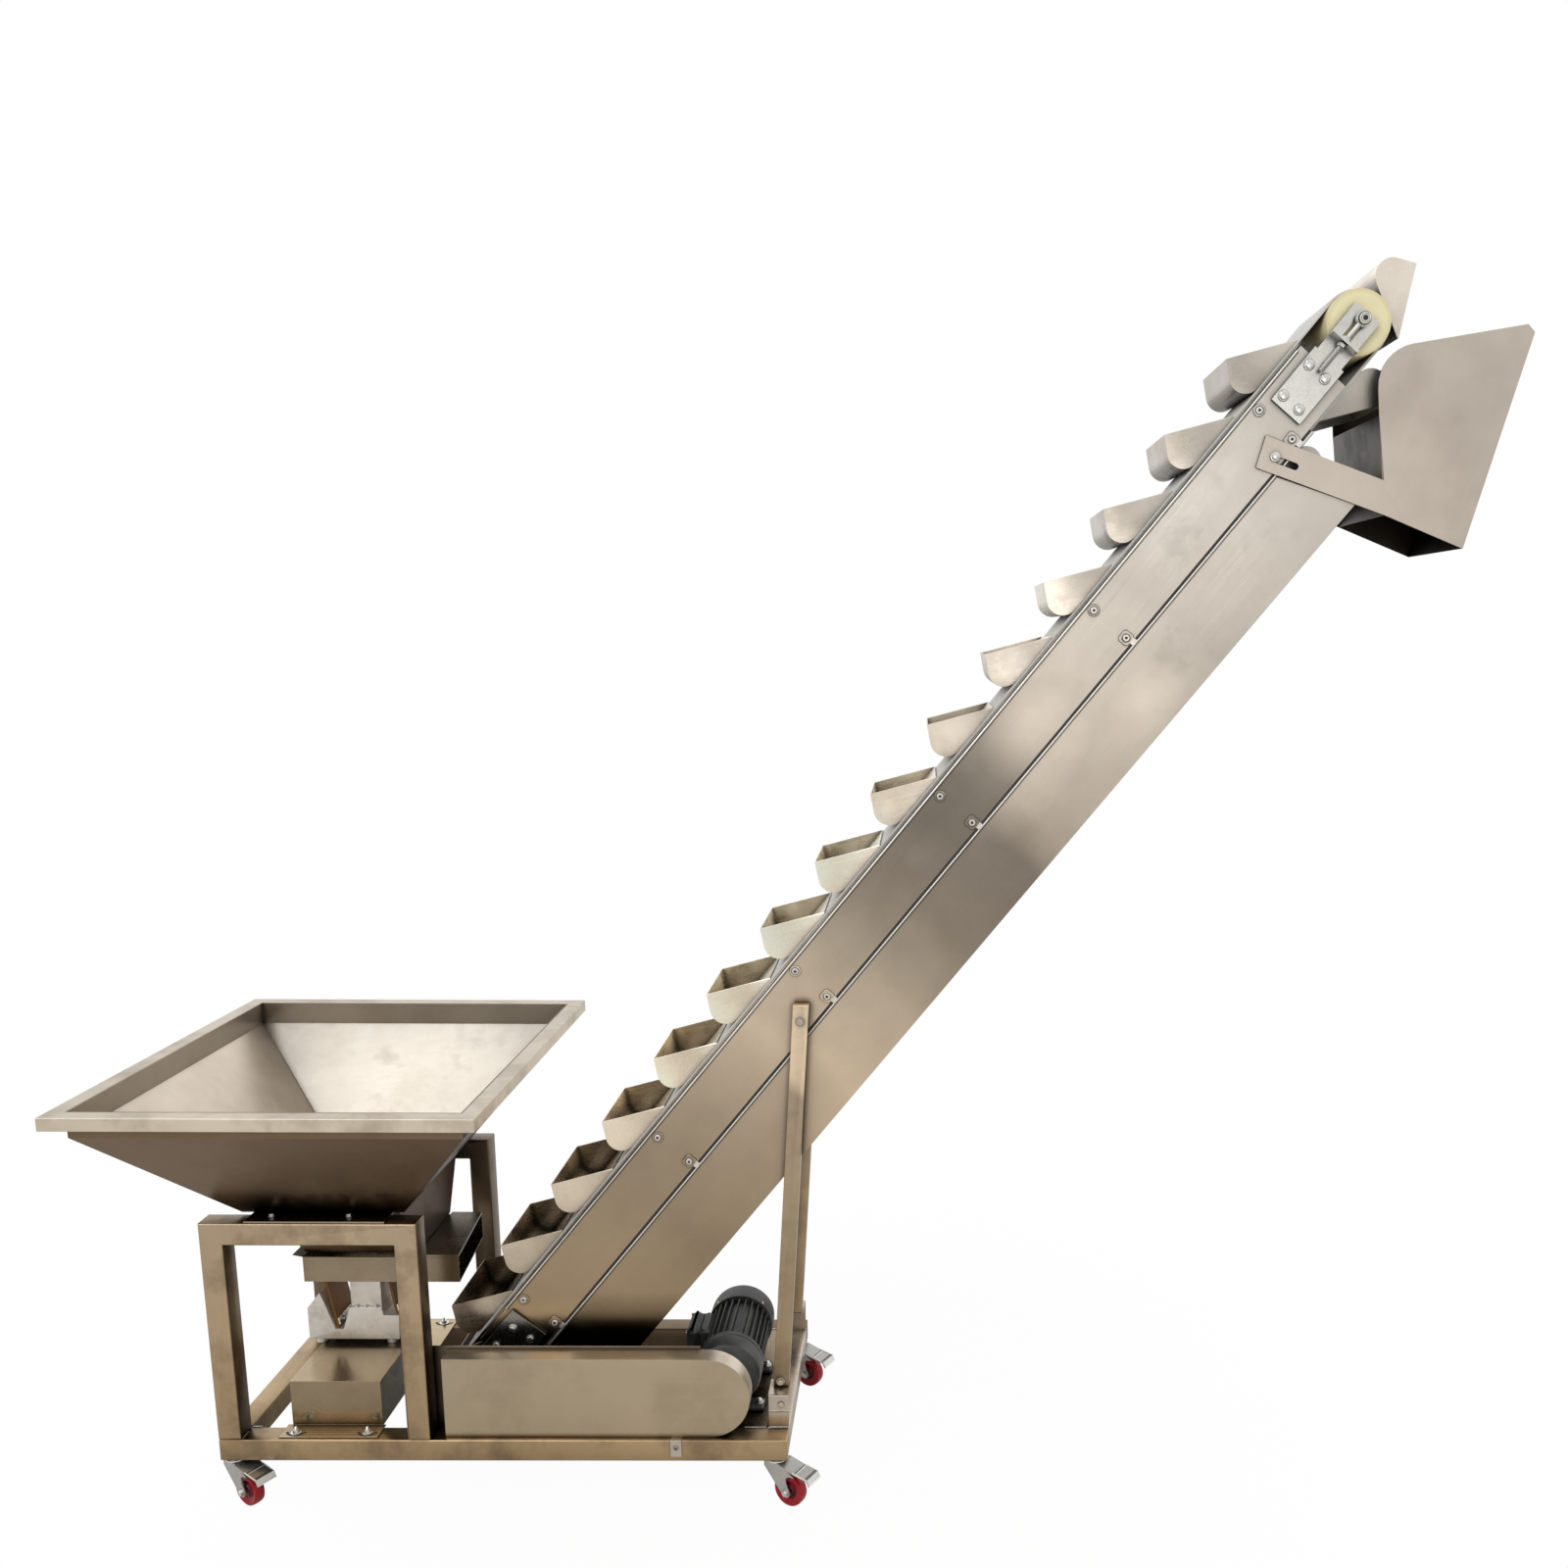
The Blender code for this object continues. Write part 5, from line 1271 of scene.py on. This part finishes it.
def guard_back_plate():
    plate = Blank()
    low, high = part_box("chain_guard")
    plate.slab((low.x - 0.040, high.y - 0.0002, base_corner.z + 0.0380),
               (low.x + 0.56, high.y + 0.0014, high.z + 0.0078))
    plate.piece("guard_back_plate", [BACK_SHEET], edge=0.0003)


guard_strap()
bracket_plates()
guard_back_plate()

# %% [markdown]
# ## Weld beads
# The frame is welded, with a raised bead where a bracket, beam or post meets the rail. A bead is a
# wire swept along the joint whose width swells and shrinks from ripple to ripple, as the welder's
# hand does. Heat leaves it blotched with brown.

# %% Beads and their finish
RIPPLE = 0.0022
# Each row: x at the start, x at the end, height, bead radius.
RAIL_BEADS = (
    (1.205, 1.250, 0.0515, 0.0022),
    (1.150, 1.198, 0.0508, 0.0016),
    (0.750, 0.796, 0.0506, 0.0014),
    (0.052, 0.072, 0.0506, 0.0014),
)
POST_SIDES = (0.0505, 0.4145)


def weld_bead():
    made, bench, shader = new_finish("weld_bead", 1.0)
    place = bench.place()
    cloud = bench.noise(place, 260.0)
    heat = bench.patches(place, 40.0, 0.45, 0.70, 3.0, 0.55)
    tone = bench.colours(cloud, rgb(0.52, 0.50, 0.46), rgb(0.86, 0.84, 0.80))
    tone = bench.colours(0.6 * heat, tone, rgb(0.34, 0.24, 0.16))
    coat(bench, shader, tone, 0.24 + 0.25 * cloud, bench.bump(cloud, 0.5, 0.0006))
    return made


def bead(blank, start, end, radius):
    start, end = at(*start), at(*end)
    count = max(5, int((end - start).length / RIPPLE))
    blank.sweep(between(start, end, count), radius, 0.7, 10, 0.16)


def welds():
    beads = Blank()
    for y in both_rows(0.0512):
        for x, end, z, radius in RAIL_BEADS:
            bead(beads, (x, y, z), (end, y, z), radius)
    for y, inward in zip(both_rows(0.0022), (0.030, -0.030)):
        for x in POST_SIDES:
            bead(beads, (x, y + 0.002, 0.0506), (x, y + inward, 0.0506), 0.0012)
    beads.piece("weld_beads", [weld_bead()])


welds()

# %% [markdown]
# ## The geared motor
# The packed motor has the right outline. Its stand-in adds what a close look finds: stepped rings on
# the gear end, tapered cooling fins, a domed fan cowl that stands off the fins, a terminal box with a
# separate lid and zinc bolts in the feet. Everything round is a profile turned about the motor's axis,
# and the fins are one tapered blade placed by a loop.

# %% Turned parts, fins and vents
MOTOR_X, MOTOR_Z = 1.105, 0.145
FIN_COUNT, VENT_COUNT = 28, 18
FIN_ROOT, FIN_TIP = 0.0610, 0.0730
GEAR_END = (
    (0.0500, 0.0566), (0.0500, 0.0690), (0.0535, 0.0700), (0.0535, 0.0780), (0.0505, 0.0790),
    (0.0510, 0.0930), (0.0570, 0.0985), (0.0680, 0.1020), (0.0735, 0.1070), (0.0760, 0.1150),
    (0.0760, 0.1480), (0.0738, 0.1495), (0.0738, 0.1525), (0.0756, 0.1540), (0.0756, 0.1655),
    (0.0700, 0.1690),
)
SHELL = ((0.0615, 0.1690), (0.0630, 0.1700), (0.0630, 0.3330))
COWL = (
    (0.0746, 0.3275), (0.0768, 0.3280), (0.0770, 0.3300), (0.0770, 0.3760), (0.0760, 0.3835),
    (0.0728, 0.3900), (0.0670, 0.3950), (0.0560, 0.3985), (0.0400, 0.3998), (0.0060, 0.4000),
)
COWL_SCREW = ((0.0032, 0), (0.0030, 0.0008), (0.0012, 0.0012))


def motor_shell(motor):
    axis = Matrix.Translation(at(MOTOR_X, 0, MOTOR_Z)) @ Matrix.Rotation(-math.pi / 2, 4, "X")

    def turned_by(part):
        return axis @ Matrix.Rotation(math.tau * part, 4, "Z")

    motor.turned(GEAR_END, axis, 64)
    motor.turned(SHELL, axis, 56)
    for fin in range(FIN_COUNT):
        rings = []
        for y, tip in ((0.1692, FIN_TIP - 0.004), (0.1740, FIN_TIP), (0.3290, FIN_TIP)):
            rings.append([(FIN_ROOT, -0.0023, y), (tip, -0.0013, y),
                          (tip, 0.0013, y), (FIN_ROOT, 0.0023, y)])
        motor.loft(rings, turned_by(fin / FIN_COUNT))
    motor.turned(COWL, axis, 64)
    # Black slabs paint the shade in the vents of the cowl.
    for vent in range(VENT_COUNT):
        low, high = (0.018, -0.0022, 0.3992), (0.050, 0.0022, 0.4000)
        motor.slab(low, high, turned_by(vent / VENT_COUNT), 0.0004, slot=2)
    for quarter in range(4):
        head = turned_by((quarter + 0.5) / 4) @ Matrix.Translation((0.0768, 0, 0.336))
        motor.turned(COWL_SCREW, head @ Matrix.Rotation(math.pi / 2, 4, "Y"), 16, slot=1)


print("motor fins", FIN_COUNT)

# %% [markdown]
# ## Terminal box and feet
# The terminal box stands on the motor's left side: a housing, a larger lid with four screws, and a
# dark joint between them. Each foot is a low plate with a block on it that reaches up to the shell.

# %% Terminal box, feet and the whole motor
LID_LEFT, LID_RIGHT, BOX_RIGHT = MOTOR_X - 0.110, MOTOR_X - 0.084, MOTOR_X - 0.056
LID_LOW, LID_HIGH = MOTOR_Z - 0.024, MOTOR_Z + 0.054
FOOT_SPANS = ((0.112, 0.152), (0.270, 0.310))


def terminal_box(motor):
    motor.slab(at(LID_RIGHT + 0.0012, 0.209, LID_LOW + 0.003),
               at(BOX_RIGHT, 0.301, LID_HIGH - 0.003), corner=0.006)
    motor.slab(at(LID_LEFT, 0.205, LID_LOW), at(LID_RIGHT, 0.305, LID_HIGH), corner=0.008)
    motor.slab(at(LID_RIGHT - 0.001, 0.211, LID_LOW + 0.005),
               at(LID_RIGHT + 0.002, 0.299, LID_HIGH - 0.005), corner=0.005, slot=2)
    for y in (0.214, 0.296):
        for z in (LID_LOW + 0.009, LID_HIGH - 0.009):
            head = facing(at(LID_LEFT, y, z), Vector(TO_LEFT))
            motor.turned([(0.0042, -0.001), (0.0040, 0.0012), (0.0020, 0.0018)], head, 16, slot=1)


def motor_feet(motor):
    for near, far in FOOT_SPANS:
        for half, low, high, corner in ((0.080, 0.0504, 0.0623, 0.003), (0.040, 0.0600, 0.0900, 0.002)):
            motor.slab(at(MOTOR_X - half, near, low), at(MOTOR_X + half, far, high), corner=corner)
        for side in (-1, 1):
            foot = upright(MOTOR_X + side * 0.068, (near + far) / 2, 0.0623)
            hex_bolt(motor, foot, 0.013, 0.006, 0.0105, 0.004, slot=1)


motor_body = Blank()
motor_shell(motor_body)
terminal_box(motor_body)
motor_feet(motor_body)
motor_body.piece("motor_body", [PAINT, ZINC, BLACK], edge=0.0006, replaced=("gearmotor",))

# %% [markdown]
# ## Castors
# Each castor swivels under its corner and its wheel spins on the axle, so the new wheel rides on the
# roller body and the trim of the fork on the castor body. The wheel is two turned rings: a crowned red
# tyre and a dished hub of a dark red. The fork gets a ball race, axle nuts and the lips and the ribs of
# the brake pedal, which are wires swept along it. The race, the lips and some ribs are near-white
# steel, painted highlights, and the other ribs black, painted shade.

# %% Castor wheels and fork trim
CASTOR_YAW = math.radians(-30)
TYRE_RING = (
    (0.0200, -0.0080), (0.0265, -0.0090), (0.0300, -0.0112), (0.0338, -0.0118), (0.0362, -0.0104),
    (0.0373, -0.0060), (0.0375, 0.0), (0.0373, 0.0060), (0.0362, 0.0104), (0.0338, 0.0118),
    (0.0300, 0.0112), (0.0265, 0.0090), (0.0200, 0.0080),
)
HUB_RING = (
    (0.0202, -0.0088), (0.0180, -0.0098), (0.0150, -0.0070), (0.0125, -0.0110), (0.0045, -0.0120),
    (0.0045, 0.0120), (0.0125, 0.0110), (0.0150, 0.0070), (0.0180, 0.0098), (0.0202, 0.0088),
)
RACE_RING = (
    (0.0226, -0.0020), (0.0246, -0.0026), (0.0252, -0.0040), (0.0246, -0.0056), (0.0226, -0.0064),
)
PEDAL_BACK, PEDAL_SLOPE = 0.056, 0.0055 / 0.039
PEDAL_RIBS = ((0.0610, 2), (0.0640, 1), (0.0885, 2), (0.0915, 2))
PEDAL_SIDE_PLACES = (0.056, 0.064, 0.072, 0.080, 0.088, 0.0945)


def pedal_top(x):
    return -0.0150 - (x - PEDAL_BACK) * PEDAL_SLOPE


def castor_wheel(corner):
    node = f"{corner}_wheel"
    axle = Vector((-math.sin(CASTOR_YAW), math.cos(CASTOR_YAW), 0))
    wheel = Blank()
    place = facing(centre(node), axle)
    wheel.turned(TYRE_RING, place, 56, True)
    wheel.turned(HUB_RING, place, 40, True, slot=1)
    wheel.piece(f"{corner}_tyre", [TYRE, HUB], f"{corner}_roller", replaced=(node,))


def fork_trim(corner, x, y):
    trim = Blank()
    place = Matrix.Translation(at(x, y, 0)) @ Matrix.Rotation(CASTOR_YAW, 4, "Z")

    def crossing(x_line, half, z_line):
        start, end = Vector((x_line, -half, z_line)), Vector((x_line, half, z_line))
        return between(place @ start, place @ end, 10)

    # Slot 1 steel paints highlights on the race, lips and ribs; slot 2 black paints shade in the ribs.
    trim.turned(RACE_RING, place, 40, True, slot=1)
    for side in (-1, 1):
        nut = place @ Matrix.Translation((0.036, side * 0.0204, -0.0705))
        nut = nut @ Matrix.Rotation(-side * math.pi / 2, 4, "X")
        trim.turned([(0.0085, 0), (0.0085, 0.0012), (0.0060, 0.0012)], nut, 24)
        trim.loft([ring(0.0062, 0.0010, 24, 1), ring(0.0062, 0.0052, 24, 1), ring(0.0056, 0.0060)], nut)
    for x_rib, slot in PEDAL_RIBS:
        trim.sweep(crossing(x_rib, 0.0195, pedal_top(x_rib)), 0.0010, 0.8, slot=slot)
    trim.sweep(crossing(0.1012, 0.0215, -0.0325), 0.0013, slot=1)
    for y_lip in (-0.0212, 0.0212):
        lip = [place @ Vector((x_lip, y_lip, pedal_top(x_lip) + 0.0002)) for x_lip in PEDAL_SIDE_PLACES]
        trim.sweep(lip, 0.0012, slot=1)
    trim.piece(f"{corner}_fork_trim", [ZINC, EDGE_STEEL, BLACK], f"{corner}_castor")


for corner, (x, y) in CORNERS.items():
    castor_wheel(corner)
    fork_trim(corner, x, y)

# %% [markdown]
# ## Bolts of the vibrating feeder
# The leaf springs are clamped at the foot and under the tray by a bar and two bolts each, and the
# magnet sits on the casting with small bolts along its edge. A clamp leans as its spring does, so its
# matrix is built from the spring's own box.

# %% Feeder clamps and bolts
SPRING_THICKNESS = 0.006
BAR_HALF, BAR_RISE = 0.043, 0.0045
MAGNET_BOLT = ((0.0036, -0.0005), (0.0036, 0.0016), (0.0026, 0.0028), (0.0010, 0.0031))


def leaf_clamps():
    clamps = Blank()
    for node in ("left_leaf_spring", "right_leaf_spring"):
        low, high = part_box(node)
        lean = Vector((low.x + SPRING_THICKNESS - high.x, 0, high.z - low.z)).normalized()
        face = Vector((lean.z, 0, -lean.x))
        foot = Vector((high.x, 0, low.z)) + 0.016 * lean
        head = Vector((low.x + SPRING_THICKNESS, 0, high.z)) - 0.014 * lean
        turn = Matrix((lean.cross(face), lean, face)).transposed().to_4x4()
        for place, half in ((foot, 0.0085), (head, 0.0080)):
            bar = Matrix.Translation(place) @ turn
            clamps.slab((-BAR_HALF, -half, 0.0002), (BAR_HALF, half, BAR_RISE), bar)
            for across in (-0.026, 0.026):
                bolt = bar @ Matrix.Translation((across, 0, BAR_RISE))
                hex_bolt(clamps, bolt, 0.010, 0.005, 0.0080, 0.003)
    clamps.piece("leaf_clamps", [ZINC], edge=0.0004)


def magnet_bolts():
    bolts = Blank()
    low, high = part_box("magnet_housing")
    for x in (low.x + 0.015, low.x + 0.036, high.x - 0.012):
        for side in (-1, 1):
            place = Vector((x, side * (abs(low.y) + 0.0035), low.z))
            bolts.turned(MAGNET_BOLT, facing(place, Vector(UPWARD), ACROSS), 16)
    bolts.piece("magnet_bolts", [ZINC])


leaf_clamps()
magnet_bolts()
SHADE_AND_GRIME.piece("shade_and_grime_rings", [BLACK])

# %% [markdown]
# ## The studio
# A machine is photographed on a white sweep. Bare metal shows its surroundings rather than a colour of
# its own, so they are part of the finish: white behind and above, dimmer and warmer on the camera's
# side. Light Path tells the rays apart: the camera sees plain white, mirrors see those surroundings,
# and the soft light that falls on everything comes from a duller, plainer sky.


# %% World
def ray_kinds(bench):
    """1 for rays from the camera, from a mirror, and through glass."""
    kinds = ("Is Camera Ray", "Is Glossy Ray", "Is Transmission Ray")
    return [bench.node("ShaderNodeLightPath", {}, {}, kind) for kind in kinds]


WHITE = rgb(1.0, 1.0, 1.0)
WARM_SIDE, COOL_SIDE = rgb(0.36, 0.32, 0.27), rgb(0.66, 0.64, 0.60)
LOW_SKY, HIGH_SKY = rgb(0.46, 0.45, 0.44), rgb(0.74, 0.74, 0.74)


def light_studio():
    world = bpy.data.worlds.new("studio")
    world.use_nodes = True
    bpy.context.scene.world = world
    bench = Bench(world.node_tree)
    seen, glossy, through = ray_kinds(bench)
    direction = bench.node("ShaderNodeTexCoord", {}, {}, "Generated")
    back = bench.spread(bench.along(direction, ALONG_Y), -0.80, 0.20)
    up = bench.spread(bench.along(direction, ALONG_Z), -0.05, 0.70)
    side = bench.spread(bench.along(direction, ALONG_X), -0.50, 0.60)
    studio = bench.colours(back, bench.colours(side, WARM_SIDE, COOL_SIDE), WHITE)
    studio = bench.colours(up, studio, WHITE)
    sky = bench.colours(up, LOW_SKY, HIGH_SKY)
    mirror = bench.spread(glossy + through, 0.0, 1.0)
    colour = bench.colours(seen, bench.colours(mirror, sky, studio), WHITE)
    background = world.node_tree.nodes["Background"]
    bench.feed(background.inputs["Color"], colour)
    background.inputs["Strength"].default_value = 1.0


light_studio()
print("world", bpy.context.scene.world.name)

# %% [markdown]
# ## Soft lamps
# The lamps are wide and weak, because a small strong one would burn a white patch into every brushed
# face. An area lamp's power spreads over its face, so the size goes into the power and the number
# that is chosen is the brightness of the face itself.


# %% Lamps
def soft_lamp(name, place, target, size, glow):
    """An area lamp. Its glow is the brightness of its face, where 1 is white."""
    lamp = bpy.data.lights.new(name, "AREA")
    lamp.shape = "RECTANGLE"
    lamp.size, lamp.size_y = size
    lamp.energy = glow * math.pi * size[0] * size[1]
    holder = bpy.data.objects.new(name, lamp)
    bpy.context.scene.collection.objects.link(holder)
    holder.matrix_world = facing(Vector(place), Vector(place) - Vector(target))


soft_lamp("key", (-2.6, -3.4, 4.2), (0.0, 0, 1.0), (3.2, 3.2), 2.0)
soft_lamp("front_fill", (1.3, -4.4, 2.3), (0.6, 0, 1.5), (1.6, 1.2), 1.9)
soft_lamp("right_rim", (3.8, 1.4, 3.4), (0.6, 0, 1.2), (2.6, 2.6), 2.2)

# %% [markdown]
# ## The floor
# The floor is pale and keeps a soft shadow. A Mix Shader lays a white glow over it for the camera, a
# little less near the machine than far away, so the shadow shows through and the far edge is lost in
# the white. Mirrors get only a tenth of that glow.

# %% Floor
FLOOR_REACH = 30.0
NEAR_GLOW, MIRROR_GLOW = 0.965, 0.10


def lay_floor():
    made, bench, shader = new_finish("pale_floor", 0.0)
    seen, glossy, through = ray_kinds(bench)
    shader["Base Color"].default_value = rgb(0.80, 0.775, 0.74)
    shader["Roughness"].default_value = 0.9
    surface = Wire(bench, made.node_tree.nodes["Principled BSDF"].outputs[0])
    glow = bench.node("ShaderNodeEmission", {}, {"Color": WHITE})
    settings = {"operation": "LENGTH"}
    away = bench.node("ShaderNodeVectorMath", settings, {0: bench.place()}, "Value")
    white = seen * bench.spread(away, 0.8, 1.7, NEAR_GLOW, 1.0) + (glossy + through) * MIRROR_GLOW
    both = bench.node("ShaderNodeMixShader", {}, {0: white, 1: surface, 2: glow})
    bench.feed(made.node_tree.nodes["Material Output"].inputs[0], both)
    mesh = bpy.data.meshes.new("floor")
    signs = ((-1, -1), (1, -1), (1, 1), (-1, 1))
    corners = [(x * FLOOR_REACH, y * FLOOR_REACH, 0) for x, y in signs]
    mesh.from_pydata(corners, [], [(0, 1, 2, 3)])
    mesh.materials.append(made)
    floor = bpy.data.objects.new("floor", mesh)
    bpy.context.scene.collection.objects.link(floor)


lay_floor()
bpy.context.scene.view_settings.view_transform = "Standard"
print("view", bpy.context.scene.view_settings.view_transform)

# %% [markdown]
